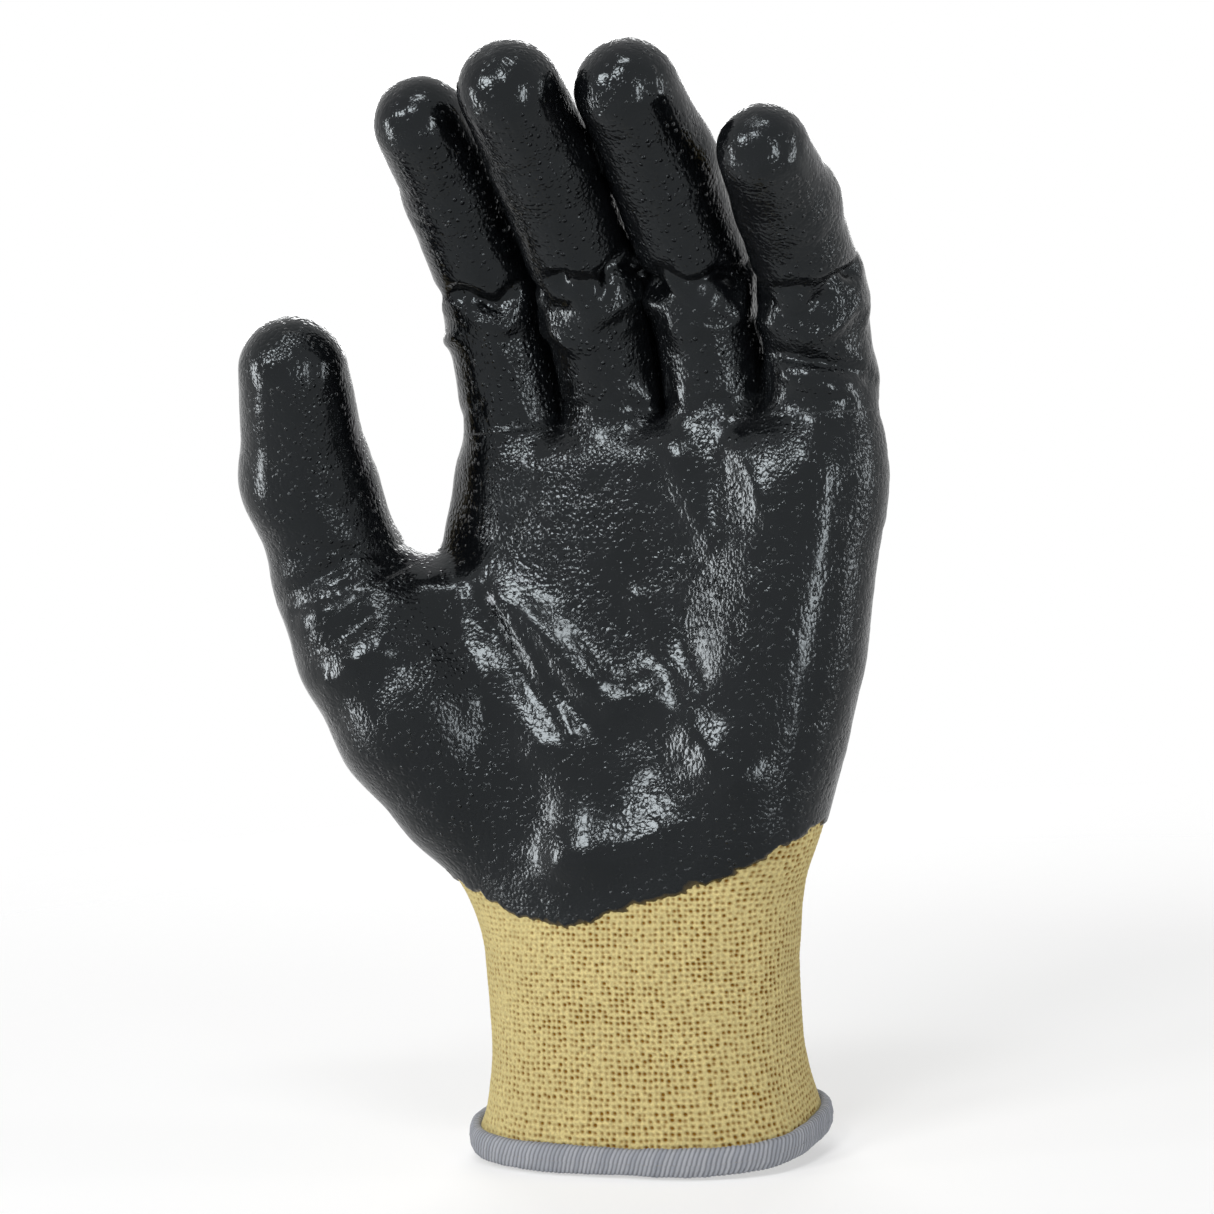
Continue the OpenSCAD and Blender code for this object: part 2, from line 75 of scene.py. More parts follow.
# The photograph's camera: angles in degrees, distance and target, pixels per millimetre at the target, the
# square frame's side and the target's place in pixels, the sensor's width, and the clipping in metres
AZIMUTH, ELEVATION, ROLL = 25.0, 3.0, 3.5
DISTANCE = 650.0
TARGET = np.array([0.0, 0.0, 118.0])
SCALE = 4.75
FRAME_SIDE = 1214
TARGET_PIXEL = (620.15, 581.57)
SENSOR = 36.0
NEAREST = 0.01


def unit(v):
    return v / np.linalg.norm(v)


def camera_axes():
    """Right, up and back of the camera, with its roll."""
    a, e, r = (math.radians(x) for x in (AZIMUTH, ELEVATION, ROLL))
    back = np.array([math.sin(a) * math.cos(e), -math.cos(a) * math.cos(e), math.sin(e)])
    right = np.array([math.cos(a), math.sin(a), 0.0])
    up = np.cross(back, right)
    return math.cos(r) * right - math.sin(r) * up, math.sin(r) * right + math.cos(r) * up, back


RIGHT, UP, BACK = camera_axes()


def to_pixels(points):
    """Where points fall in the photograph's frame."""
    p = points - TARGET
    k = DISTANCE / (DISTANCE - p @ BACK)
    return np.stack([TARGET_PIXEL[0] + SCALE * k * (p @ RIGHT), TARGET_PIXEL[1] - SCALE * k * (p @ UP)], 1)


def smooth(t):
    t = np.clip(t, 0, 1)
    return t * t * (3 - 2 * t)


def bell(x, width):
    return np.exp(-((x / width) ** 2))


def smooth_min(a, b, k):
    h = np.clip(0.5 + 0.5 * (b - a) / k, 0, 1)
    return b + (a - b) * h - k * h * (1 - h)


def lattice(cell, seed):
    """Three repeatable numbers from -1 to 1 for each whole-numbered cell."""
    c = cell.astype(np.int64).astype(np.uint32)
    h = c[:, 0] * np.uint32(374761393) + c[:, 1] * np.uint32(668265263) + c[:, 2] * np.uint32(2246822519)
    h = h + np.uint32((seed * 977 + 13) * 3266489917 % 2**32)
    h = (h ^ (h >> np.uint32(15))) * np.uint32(2654435761)
    h = (h ^ (h >> np.uint32(13))) * np.uint32(3266489917)
    h = h ^ (h >> np.uint32(16))
    parts = [(h >> np.uint32(shift)) & np.uint32(1023) for shift in (0, 10, 20)]
    return np.stack(parts, 1).astype(float) / 511.5 - 1


NOISE_GAIN = 1.5


def noise(points, wavelength, seed):
    """Smooth gradient noise, about -1 to 1."""
    p = points / wavelength
    cell = np.floor(p)
    f = p - cell
    w = f * f * f * (f * (f * 6 - 15) + 10)
    total = np.zeros(len(p))
    for corner in np.ndindex(2, 2, 2):
        c = np.array(corner)
        weight = np.prod(np.where(c == 1, w, 1 - w), axis=1)
        total += weight * np.einsum("ij,ij->i", lattice(cell + c, seed), f - c)
    return total * NOISE_GAIN


def layered(points, layers):
    """A sum of noises, each given by its height, wavelength and seed."""
    return sum(height * noise(points, wavelength, seed) for height, wavelength, seed in layers)


# Digits: half widths at the folds and the tip, their folds and sections, where the thenar starts, how far a
# digit's line goes back into the hand, how gently the way along it turns at a fold, and the tip's shift
HALF_WIDTHS = {
    "index": (11.6, 11.1, 10.4, 9.4),
    "middle": (11.3, 11.1, 10.8, 10.0),
    "ring": (10.9, 10.8, 10.7, 10.0),
    "little": (11.0, 10.4, 9.8, 8.8),
    "thumb": (13.9, 13.4, 11.0),
}
FOLDS = {name: ("root", "middle", "tip") for name in FINGERS}
FOLDS["thumb"] = ("root", "tip")
SECTIONS = {name: ("proximal", *folds[1:]) for name, folds in FOLDS.items()}
THENAR_START = np.array([-31.0, -4.0, 71.0])
CARRIER_LENGTH = 24.0
FOLD_EASE = 1.5
THUMB_TIP_SHIFT = np.array([1.5, 0.0, 0.0])


def mesh_points(mesh):
    co = np.empty(len(mesh.vertices) * 3)
    mesh.vertices.foreach_get("co", co)
    return co.reshape(-1, 3) / MM


class Digit:
    """A finger or the thumb: its line of folds, its axis, and its half widths."""

    def __init__(self, name):
        self.name = name
        folds = [np.array(JOINTS[f"{name}_{fold}_fold"]["pos_m"]) / MM for fold in FOLDS[name]]
        far = mesh_points(frame["nodes"][f"{name}_tip_coating"].data)
        tip = far[np.argmax(np.linalg.norm(far - folds[-1], axis=1))]
        carrier = np.array([0.0, 0.0, 1.0])
        self.axis = np.array([1.0, 0.0, 0.0])
        if name == "thumb":
            tip = tip + THUMB_TIP_SHIFT
            carrier = unit(folds[0] - THENAR_START)
            self.axis = -np.array(JOINTS["thumb_root_fold"]["axis"])
        self.line = np.array([folds[0] - carrier * CARRIER_LENGTH, *folds, tip])
        steps = np.diff(self.line, axis=0)
        self.lengths = np.linalg.norm(steps, axis=1)
        self.directions = steps / self.lengths[:, None]
        self.half = np.array(HALF_WIDTHS[name])
        self.starts = np.concatenate([[0], np.cumsum(self.lengths)]) - CARRIER_LENGTH

    def place(self, points):
        """For each point: the way along the line from the root fold, the angle round it from the thumb's
        side through the palm side, the distance from it, and the way again, eased over the folds."""
        ways, nearest, angles, distances = [], [], [], []
        for start, direction, length, origin in zip(self.line, self.directions, self.lengths, self.starts):
            p = points - start
            reach = p @ direction
            t = np.clip(reach, 0, length)
            out = p - t[:, None] * direction
            palm = unit(np.cross(self.axis, direction))
            side = np.cross(palm, direction)
            ways.append(origin + reach)
            nearest.append(origin + t)
            angles.append(np.arctan2(out @ palm, out @ side))
            distances.append(np.linalg.norm(out, axis=1))
        best = np.min(distances, axis=0)
        mine = np.argmin(distances, axis=0), np.arange(len(points))
        weights = np.exp((best - np.array(distances)) / FOLD_EASE)
        eased = (weights * np.array(ways)).sum(0) / weights.sum(0)
        return np.array(nearest)[mine], np.array(angles)[mine], best, eased

    def middle(self, i):
        """The way along the line to the middle of section i."""
        return self.starts[i + 1] + self.lengths[i + 1] / 2


DIGITS = {name: Digit(name) for name in (*FINGERS, "thumb")}
THUMB = DIGITS["thumb"]


def round_cone(p, a, b, ra, rb):
    """Distance to the hull of two balls."""
    ba = b - a
    l2 = ba @ ba
    rr = ra - rb
    a2 = l2 - rr * rr
    pa = p - a
    y = pa @ ba
    z = y - l2
    x2 = ((pa * l2 - y[:, None] * ba) ** 2).sum(1)
    y2 = y * y * l2
    z2 = z * z * l2
    k = np.sign(rr) * rr * rr * x2
    d = (np.sqrt(x2 * a2 / l2) + y * rr) / l2 - ra
    d = np.where(np.sign(y) * a2 * y2 < k, np.sqrt(x2 + y2) / l2 - ra, d)
    return np.where(np.sign(z) * a2 * z2 > k, np.sqrt(x2 + z2) / l2 - rb, d)


def section_cones(p, digit):
    """Distances to the cones of a digit's sections, the last of which ends in a round tip."""
    last = len(digit.directions) - 1
    for i in range(1, last + 1):
        end = digit.line[i + 1]
        if i == last:
            end = end - digit.directions[i] * digit.half[i]
        yield round_cone(p, digit.line[i], end, digit.half[i - 1], digit.half[i])


ROOT_TAPER = 1.2
FOLD_BLEND = 2.5


def finger_field(p, digit):
    """Distance to a finger, with a cone in the hand and one for each section."""
    half = digit.half[0]
    d = round_cone(p, digit.line[0], digit.line[1], half - ROOT_TAPER, half)
    for cone in section_cones(p, digit):
        d = smooth_min(d, cone, FOLD_BLEND)
    return d


# The palm and cuff: height, middle across, middle in depth, half width, half depth to the palm and to the
# back, and how square the outline is, from 2 for an oval
PALM_ROWS = np.array([
    [-10, -0.9, 0.0, 38.8, 24.4, 24.2, 2.9],
    [0, -0.9, 0.0, 38.4, 24.2, 24.0, 2.9],
    [8, -0.3, 0.0, 35.3, 23.4, 23.2, 2.8],
    [18, -0.2, 0.0, 33.6, 22.4, 22.2, 2.7],
    [26, -0.2, 0.0, 33.6, 22.0, 21.8, 2.6],
    [35, -0.4, 0.0, 34.3, 21.8, 21.6, 2.5],
    [48, 0.2, 0.0, 35.2, 21.4, 21.0, 2.4],
    [62, 1.6, 0.2, 36.8, 20.6, 20.0, 2.3],
    [80, 5.0, 0.6, 40.2, 19.0, 18.4, 2.25],
    [100, 8.2, 1.1, 43.6, 17.0, 16.6, 2.25],
    [118, 7.2, 1.6, 47.2, 15.4, 15.2, 2.25],
    [129, 7.6, 1.8, 48.8, 14.4, 14.2, 2.25],
    [140, 9.7, 2.0, 47.7, 13.4, 13.4, 2.25],
    [170, 12.0, 2.0, 46.4, 12.6, 12.6, 2.25],
])
PALM_TOP = 151.0
PALM_TOP_ROUND = 10.0
ROW_STEP = 0.5
ROW_SMOOTHING = 12


def smooth_rows():
    """The palm's rows at every half millimetre, rounded off."""
    z = np.arange(PALM_ROWS[0, 0], PALM_ROWS[-1, 0], ROW_STEP)
    kernel = np.hanning(2 * ROW_SMOOTHING + 3)[1:-1]
    kernel /= kernel.sum()
    columns = [z]
    for column in PALM_ROWS[:, 1:].T:
        dense = np.pad(np.interp(z, PALM_ROWS[:, 0], column), ROW_SMOOTHING, mode="edge")
        columns.append(np.convolve(dense, kernel, "valid"))
    return np.array(columns)


ROWS = smooth_rows()


def palm_size(z):
    return [np.interp(z, ROWS[0], column) for column in ROWS[1:]]


HOLLOW_AT = (13.0, 104.0)
HOLLOW_SIZE = (17.0, 30.0)
HOLLOW_DEPTH = 3.6


def palm_field(p):
    """Distance to the lofted cuff and palm, hollowed in the middle of the palm."""
    cx, cy, half_w, front, rear, power = palm_size(p[:, 2])
    x = p[:, 0] - cx
    y = p[:, 1] - cy
    hollow = bell(p[:, 0] - HOLLOW_AT[0], HOLLOW_SIZE[0]) * bell(p[:, 2] - HOLLOW_AT[1], HOLLOW_SIZE[1])
    depth = np.where(y < 0, front - HOLLOW_DEPTH * hollow, rear)
    u = np.abs(x) / half_w
    v = np.abs(y) / depth
    total = np.maximum(u**power + v**power, 1e-9)
    k = total ** (1 / power)
    slope = np.hypot(u ** (power - 1) / half_w, v ** (power - 1) / depth) * total ** (1 / power - 1)
    d = (k - 1) / np.maximum(slope, 0.01)
    return -smooth_min(-d, PALM_TOP - p[:, 2], PALM_TOP_ROUND)


# The thenar as balls along its way: share of the way to the thumb's root fold, and half width
THENAR_BALLS = ((-0.25, 13.0), (0.12, 17.2), (0.42, 19.8), (0.72, 18.0), (1.0, 14.0))
THENAR_SHIFT = np.array([-0.8, 0.0, 0.0])
# The web and the hand's outer border as cones: both ends, and the half width at each
WEB = (np.array([-33.0, 1.0, 113.0]), np.array([-54.0, -6.0, 111.0]), 8.0, 9.5)
BORDER = (np.array([28.5, -3.5, 70.0]), np.array([44.2, 0.0, 138.0]), 13.0, 13.4)
BORDER_BLEND = 9.0
THUMB_BLEND = 4.0
WEB_BLEND = 8.0
THENAR_BLEND = 9.0
FINGER_BLEND = 4.0
FAR = 1e3


def glove_field(p):
    """Distance to the glove's outer surface."""
    way = THUMB.line[1] - THENAR_START
    places = [THENAR_START + way * share + THENAR_SHIFT for share, _ in THENAR_BALLS]
    thenar = np.full(len(p), FAR)
    for i in range(len(places) - 1):
        cone = round_cone(p, places[i], places[i + 1], THENAR_BALLS[i][1], THENAR_BALLS[i + 1][1])
        thenar = smooth_min(thenar, cone, THUMB_BLEND)
    for cone in section_cones(p, THUMB):
        thenar = smooth_min(thenar, cone, THUMB_BLEND)
    hand = smooth_min(palm_field(p), round_cone(p, *BORDER), BORDER_BLEND)
    hand = smooth_min(hand, round_cone(p, *WEB), WEB_BLEND)
    hand = smooth_min(hand, thenar, THENAR_BLEND)
    fingers = np.full(len(p), FAR)
    for name in FINGERS:
        fingers = np.minimum(fingers, finger_field(p, DIGITS[name]))
    return smooth_min(hand, fingers, FINGER_BLEND)


# The grid of distances, sampled in blocks of voxels that are fine only near the surface
VOXEL = 0.95
BLOCK = 4
NEAR_SURFACE = 8.0
GRID_MARGIN = 9.0
BAND = 6.0
PART = 60000


def in_parts(field, points):
    """A field at many points, a part of them at a time."""
    return np.concatenate([field(points[i : i + PART]) for i in range(0, len(points), PART)])


def sampled(field):
    """A field on a grid of voxels, exact near the surface, and the grid's lowest corner."""
    low = np.array(cad_box[0]) / MM - GRID_MARGIN
    size = np.array(cad_box[1]) / MM + GRID_MARGIN - low
    blocks = np.ceil(size / (VOXEL * BLOCK)).astype(int)
    corner = np.indices(blocks).reshape(3, -1).T
    coarse = in_parts(field, low + (corner + 0.5 - 0.5 / BLOCK) * (VOXEL * BLOCK))
    near = corner[np.abs(coarse) < NEAR_SURFACE]
    values = np.repeat(coarse[:, None], BLOCK**3, 1).reshape(*blocks, BLOCK, BLOCK, BLOCK)
    inner = np.indices((BLOCK,) * 3).reshape(3, -1).T
    points = (near[:, None, :] * BLOCK + inner[None]) * VOXEL + low
    exact = in_parts(field, points.reshape(-1, 3)).reshape(-1, BLOCK, BLOCK, BLOCK)
    values[near[:, 0], near[:, 1], near[:, 2]] = exact
    grid = values.transpose(0, 3, 1, 4, 2, 5).reshape(blocks * BLOCK)
    return np.clip(grid, -BAND, BAND).astype(np.float32), low


def surface(grid, low, level):
    """Points and quads of the surface where a grid of distances has the level."""
    volume = openvdb.FloatGrid(BAND)
    volume.copyFromArray(np.ascontiguousarray(grid))
    points, quads = volume.convertToQuads(isovalue=level)
    return points * VOXEL + low, quads.astype(np.int64)


def placed(name, data):
    """A new object in the scene."""
    thing = bpy.data.objects.new(name, data)
    bpy.context.scene.collection.objects.link(thing)
    return thing


def mesh_from(name, points, quads):
    """A smooth-shaded mesh of quads."""
    mesh = bpy.data.meshes.new(name)
    mesh.vertices.add(len(points))
    mesh.vertices.foreach_set("co", (points * MM).astype(np.float32).ravel())
    mesh.loops.add(quads.size)
    mesh.loops.foreach_set("vertex_index", quads.astype(np.int32).ravel())
    mesh.polygons.add(len(quads))
    mesh.polygons.foreach_set("loop_start", np.arange(0, quads.size, 4, dtype=np.int32))
    mesh.update(calc_edges=True)
    mesh.shade_smooth()
    return mesh


def subdivided(points, quads):
    """One step of smooth subdivision."""
    thing = placed("scratch", mesh_from("scratch", points, quads))
    thing.modifiers.new("smooth", "SUBSURF").levels = 1
    graph = bpy.context.evaluated_depsgraph_get()
    mesh = thing.evaluated_get(graph).to_mesh()
    points = mesh_points(mesh)
    corners = np.empty(len(mesh.loops), np.int32)
    mesh.loops.foreach_get("vertex_index", corners)
    thing.evaluated_get(graph).to_mesh_clear()
    bpy.data.objects.remove(thing)
    return points, corners.reshape(-1, 4).astype(np.int64)


def normals_of(points, quads):
    a, b, c, d = (points[quads[:, i]] for i in range(4))
    n = np.cross(c - a, d - b)
    total = np.zeros_like(points)
    for i in range(4):
        for axis in range(3):
            total[:, axis] += np.bincount(quads[:, i], n[:, axis], len(points))
    return total / np.maximum(np.linalg.norm(total, axis=1, keepdims=True), 1e-12)


# Stitches: wale and course pitch, wales round the hand, and the height whose outline sets the cuff's wales
WALE, COURSE = 1.3, 1.21
HAND_WALES = 140
WRIST_Z = 34.0
OUTLINE_POINTS = 1441


def wale_table(z):
    """Directions from the hand's middle at a height, and the wale there, even along the outline."""
    _, _, half_w, front, rear, square = (float(x) for x in palm_size(z))
    t = np.linspace(-math.pi, math.pi, OUTLINE_POINTS)
    power = 2 / square
    x = half_w * np.sign(np.sin(t)) * np.abs(np.sin(t)) ** power
    y = np.sign(np.cos(t)) * np.abs(np.cos(t)) ** power
    y = np.where(y < 0, y * front, y * rear)
    way = np.concatenate([[0], np.cumsum(np.hypot(np.diff(x), np.diff(y)))])
    turn = np.arctan2(x, y)
    turn[0], turn[-1] = -math.pi, math.pi
    return turn, (way / way[-1] - 0.5) * HAND_WALES


WALE_TURNS, WALE_NUMBERS = wale_table(WRIST_Z)
# The wales at even directions, for even heights from the bottom of the palm's rows
TABLE_STEP = 4.0
TABLE_TURNS = np.linspace(-math.pi, math.pi, 721)
TABLE_HEIGHTS = np.arange(ROWS[0, 0], ROWS[0, -1], TABLE_STEP)
TABLE = np.array([np.interp(TABLE_TURNS, *wale_table(z)) for z in TABLE_HEIGHTS])

# How far the coating goes: the pixels of its lower edge on the palm, how far round the hand's sides it
# reaches and how far out from the thumb's line, and how ragged its edge is
EDGE_X = (300, 420, 470, 510, 565, 620, 700, 760, 820, 900)
EDGE_Y = (800, 850, 890, 913, 928, 912, 885, 862, 825, 760)
COAT_SIDE_Y = 5.0
THENAR_BARE = 8.4
HAND_RAGGED = ((0.9, 5.0, 21), (0.7, 2.2, 22), (0.5, 1.1, 23))
DIGIT_RAGGED = ((0.8, 4.0, 24), (0.6, 1.6, 25))
# Where the thenar starts across the hand, and the height above which that place leans to the thumb
THENAR_X = -26.0
WEB_Z = 95.0
WEB_LEAN = 0.5
THENAR_EASE = 10.0
# The half angle left bare on a digit's back, its middle, and how far before its end a tip is covered
BARE_HALF = math.radians(56)
BARE_AT = {name: math.radians(-90) for name in FINGERS}
BARE_AT["thumb"] = math.radians(-158)
TIP_COVER = 15.0


def thenar_cover(points):
    """How far points lie below the bare stretch that goes on from the thumb's back down the thenar."""
    palm = unit(np.cross(THUMB.axis, THUMB.directions[0]))
    side = np.cross(palm, THUMB.directions[0])
    out = math.cos(BARE_AT["thumb"]) * side + math.sin(BARE_AT["thumb"]) * palm
    return THENAR_BARE - (points - THUMB.line[1]) @ out


# How far past the thenar's bare edge the wales of the back go on, and over which width across they start
THENAR_KNIT = 8.0
THENAR_KNIT_SIDE = 20.0


def hand_stitches(points):
    """Wales round and courses along of points on the hand and the cuff, going on over the thenar's back."""
    cx, cy, half_w, _, rear, _ = palm_size(points[:, 2])
    x, y = points[:, 0] - cx, points[:, 1] - cy
    turn = np.arctan2(x, y)
    beyond = np.maximum(1 - 1 / np.maximum(np.hypot(x / half_w, y / rear), 1e-6), 0) * np.hypot(x, y)
    on_back = smooth((THENAR_KNIT - thenar_cover(points)) / THENAR_EASE)
    thenar = beyond * on_back * smooth(-x / THENAR_KNIT_SIDE)
    column = (turn + math.pi) / (2 * math.pi) * (len(TABLE_TURNS) - 1)
    row = np.clip((points[:, 2] - ROWS[0, 0]) / TABLE_STEP, 0, len(TABLE) - 1.001)
    j = np.minimum(column.astype(int), len(TABLE_TURNS) - 2)
    i = row.astype(int)
    across, up = column - j, row - i
    low = TABLE[i, j] * (1 - across) + TABLE[i, j + 1] * across
    high = TABLE[i + 1, j] * (1 - across) + TABLE[i + 1, j + 1] * across
    return np.stack([low * (1 - up) + high * up - thenar / WALE, points[:, 2] / COURSE], 1)


def hand_coat(points):
    """How far inside the coating points of the hand lie, in millimetres, below nought outside it."""
    pixels = to_pixels(points)
    edge = np.interp(pixels[:, 0], EDGE_X, EDGE_Y)
    thenar_edge = THENAR_X - WEB_LEAN * np.maximum(points[:, 2] - WEB_Z, 0)
    share = smooth((thenar_edge - points[:, 0]) / THENAR_EASE)
    side = (COAT_SIDE_Y - points[:, 1]) * (1 - share) + thenar_cover(points) * share
    return np.minimum((edge - pixels[:, 1]) / SCALE, side) + layered(points, HAND_RAGGED)


# Where the pieces part: the height of the finger roots, a digit's start before its root fold, how long its
# coating takes over there, and how far out from its own surface it reaches
ROOT_CUT = 151.0
DIGIT_CUT = -6.0
DIGIT_EASE = 12.0
DIGIT_REACH = {name: 9.0 for name in FINGERS}
DIGIT_REACH["thumb"] = 4.5


def digit_width(digit, along):
    return np.interp(along, digit.starts[1:], digit.half)


class Skin:
    """The glove's surface with each point's digit and section, its place along and round the digit, its
    stitches and how far inside the coating it lies."""

    def __init__(self, points, quads):
        self.points = points
        self.quads = quads
        self.normals = normals_of(points, quads)
        self.digit = np.full(len(points), -1)
        self.part = np.zeros(len(points), int)
        self.along, self.angle, self.eased = np.zeros((3, len(points)))
        self.period = np.full(len(points), float(HAND_WALES))
        self.find_digits()
        self.coat = hand_coat(points)
        self.stitches = hand_stitches(points)
        self.dress_digits()

    def find_digits(self):
        nearest = np.full(len(self.points), np.inf)
        for index, digit in enumerate(DIGITS.values()):
            along, angle, distance, eased = digit.place(self.points)
            over = distance - digit_width(digit, along)
            mine = (over < nearest) & (over < DIGIT_REACH[digit.name]) & (along > DIGIT_CUT)
            if digit.name != "thumb":
                mine &= self.points[:, 2] > ROOT_CUT
            nearest = np.where(mine, over, nearest)
            self.digit[mine] = index
            self.along[mine] = along[mine]
            self.angle[mine] = angle[mine]
            self.eased[mine] = eased[mine]
            cuts = [digit.middle(i) for i in range(len(FOLDS[digit.name]) - 1)]
            self.part[mine] = np.searchsorted(cuts, along[mine])

    def dress_digits(self):
        """The coating and the stitches of the digits, eased into the hand's at their roots."""
        for index, digit in enumerate(DIGITS.values()):
            mine = np.flatnonzero(self.digit == index)
            along = self.along[mine]
            turn = (self.angle[mine] - BARE_AT[digit.name] + math.pi) % (2 * math.pi) - math.pi
            ragged = layered(self.points[mine], DIGIT_RAGGED)
            sides = (np.abs(turn) - BARE_HALF) * digit_width(digit, along)
            depth = np.maximum(sides, along - (digit.starts[-1] - TIP_COVER)) + ragged
            share = smooth((along - DIGIT_CUT) / DIGIT_EASE)
            self.coat[mine] += (depth - self.coat[mine]) * share
            wales = round(2 * math.pi * digit.half.mean() / WALE)
            self.period[mine] = wales
            self.stitches[mine] = np.stack([turn / (2 * math.pi) * wales, self.eased[mine] / COURSE], 1)


# Strokes that sculpt the palm side: way in the photograph's pixels, half width and height in millimetres
STROKES = (
    ((440, 578, 484, 640, 510, 690, 535, 745), 5.0, 2.0),
    ((478, 574, 516, 610, 566, 660, 611, 702), 5.0, 2.3),
    ((498, 602, 520, 640, 550, 690, 572, 732), 1.8, 0.5),
    ((578, 750, 584, 800, 578, 850), 7.0, 1.5),
    ((655, 400, 680, 470, 708, 535), 3.8, 1.1),
    ((730, 430, 752, 480, 775, 520), 3.0, 0.8),
    ((640, 600, 662, 640, 690, 690), 3.0, 0.8),
    ((650, 690, 690, 735, 735, 775), 5.0, 1.6),
    ((612, 560, 640, 605), 2.8, 0.4),
    ((262, 610, 300, 588, 345, 560), 2.0, -1.4),
    ((270, 640, 310, 622, 350, 590), 2.6, 1.0),
    ((280, 665, 325, 650, 370, 618), 2.0, -1.0),
    ((292, 690, 335, 680, 380, 650), 2.8, 0.8),
    ((300, 552, 340, 548, 380, 556), 1.5, -0.6),
    ((778, 352, 820, 360, 866, 374), 1.7, -1.5),
    ((784, 378, 815, 386, 850, 396), 2.8, 1.2),
    ((565, 854, 610, 850, 655, 836), 6.0, 1.9),
)
# How much wider than a ridge the stretch is that use has rubbed smooth, and more such stretches: way and
# half width
RUBBED_REACH = 1.6
RUBBED = (
    ((596, 765, 606, 800, 612, 835), 8.0),
    ((700, 670, 718, 720, 722, 760), 8.0),
    ((812, 390, 816, 500, 812, 620, 796, 760), 4.0),
    ((258, 360, 262, 430, 264, 500), 2.5),
    ((322, 360, 335, 430, 347, 490), 2.5),
    ((385, 112, 425, 95, 450, 130), 5.0),
    ((460, 85, 500, 68, 535, 95), 5.0),
    ((582, 72, 620, 62, 660, 100), 5.0),
    ((728, 145, 765, 125, 800, 160), 5.0),
    ((440, 285, 480, 282, 512, 270), 4.0),
    ((565, 285, 595, 290, 615, 285), 4.0),
    ((685, 285, 705, 298, 718, 290), 4.0),
)
# Crumpled stretches: way, half width and height of the crumples; their form; and how soon strokes fade out
# where the surface turns from the camera
CRUMPLES = (
    ((490, 590, 560, 670, 640, 745, 690, 800), 9.0, 0.2),
    ((270, 600, 310, 640, 350, 690), 8.0, 0.22),
    ((700, 430, 740, 560, 770, 700), 10.0, 0.12),
)
CRUMPLED = ((1.0, 6.0, 5), (0.6, 3.4, 6))
SEEN_EASE = 0.3


def way_distance(pixels, way):
    """Distance of pixels from a broken line, given as a run of pixel pairs."""
    best = np.full(len(pixels), np.inf)
    way = np.array(way, float).reshape(-1, 2)
    for a, b in zip(way[:-1], way[1:]):
        t = np.clip((pixels - a) @ (b - a) / ((b - a) @ (b - a)), 0, 1)
        best = np.minimum(best, np.linalg.norm(pixels - a - t[:, None] * (b - a), axis=1))
    return best


def strokes(skin):
    """How far the sculpting strokes come towards the camera, and how far their ridges are rubbed smooth."""
    pixels = to_pixels(skin.points)
    seen = smooth(skin.normals @ BACK / SEEN_EASE)
    total = np.zeros(len(skin.points))
    rubbed = np.zeros(len(skin.points))
    for way, width, height in STROKES:
        away = way_distance(pixels, way) / SCALE
        total += height * bell(away, width) * seen
        if height > 0:
            rubbed = np.maximum(rubbed, bell(away, width * RUBBED_REACH) * seen)
    for way, width in RUBBED:
        rubbed = np.maximum(rubbed, bell(way_distance(pixels, way) / SCALE, width) * seen)
    rough = layered(skin.points, CRUMPLED)
    for way, width, height in CRUMPLES:
        total += height * rough * bell(way_distance(pixels, way) / SCALE, width) * seen
    return total, rubbed


# Fold at each knuckle: depth of its crease, its half width towards the root and towards the tip, height of
# the flesh below it, and how far beyond the fold it lies; and how far creases turn to the thumb's side
CREASES = {
    "root": (0.5, 2.4, 2.0, 0.3, 0.0),
    "middle": (2.3, 3.4, 2.3, 1.0, 3.0),
    "tip": (0.15, 2.5, 2.5, 0.1, 0.0),
}
CREASE_TURNS = {"index": math.radians(35), "little": math.radians(-15)}
# How a crease wanders, its share of the full depth, and how far round the digit it goes
CREASE_DRIFT = ((5.0, 10.0, 3),)
CREASE_MEAN = 0.8
CREASE_UNEVEN = ((1.2, 6.0, 7),)
CREASE_LIMITS = (0.15, 1.4)
CREASE_ROUND = 0.45
FLESH_BELOW, FLESH_HALF = 8.0, 3.2


def creases(skin):
    """Height of the creases at the folds, on the side that each digit bends to."""
    total = np.zeros(len(skin.points))
    drift = layered(skin.points, CREASE_DRIFT)
    uneven = np.clip(CREASE_MEAN + layered(skin.points, CREASE_UNEVEN), *CREASE_LIMITS)
    for index, digit in enumerate(DIGITS.values()):
        turned = skin.angle + CREASE_TURNS.get(digit.name, 0.0)
        inner = smooth(np.sin(turned) + CREASE_ROUND) * uneven
        for i, fold in enumerate(FOLDS[digit.name]):
            depth, low, high, flesh, shift = CREASES[fold]
            across = unit(digit.directions[i] + digit.directions[i + 1])
            way = (skin.points - digit.line[i + 1]) @ across - shift + drift
            height = flesh * bell(way + FLESH_BELOW, FLESH_HALF)
            height -= depth * bell(way, np.where(way < 0, low, high))
            total += np.where(skin.digit == index, height * inner, 0)
    return total


# The slack of a knit that stands empty, and the coating's skin of blunt grains about a millimetre across
WEAR = ((0.3, 16.0, 1), (0.11, 7.0, 2), (0.04, 3.6, 4))
PEBBLES = ((1.0, 1.6, 11), (0.7, 1.1, 12))
PITS = ((1.0, 2.3, 13),)
PEBBLE_HEIGHT, PIT_DEPTH = 0.025, 0.015


def pebbles(p):
    """Height of the coating's grains and of the pits between them."""
    return PEBBLE_HEIGHT * layered(p, PEBBLES) - PIT_DEPTH * np.abs(layered(p, PITS))


# Levels against the sculpted surface: the bare knit, and the coating before its edge and inside it
KNIT_SINK = 0.35
COAT_LOW, COAT_HIGH = -0.65, 0.40
COAT_RAMP = 1.6


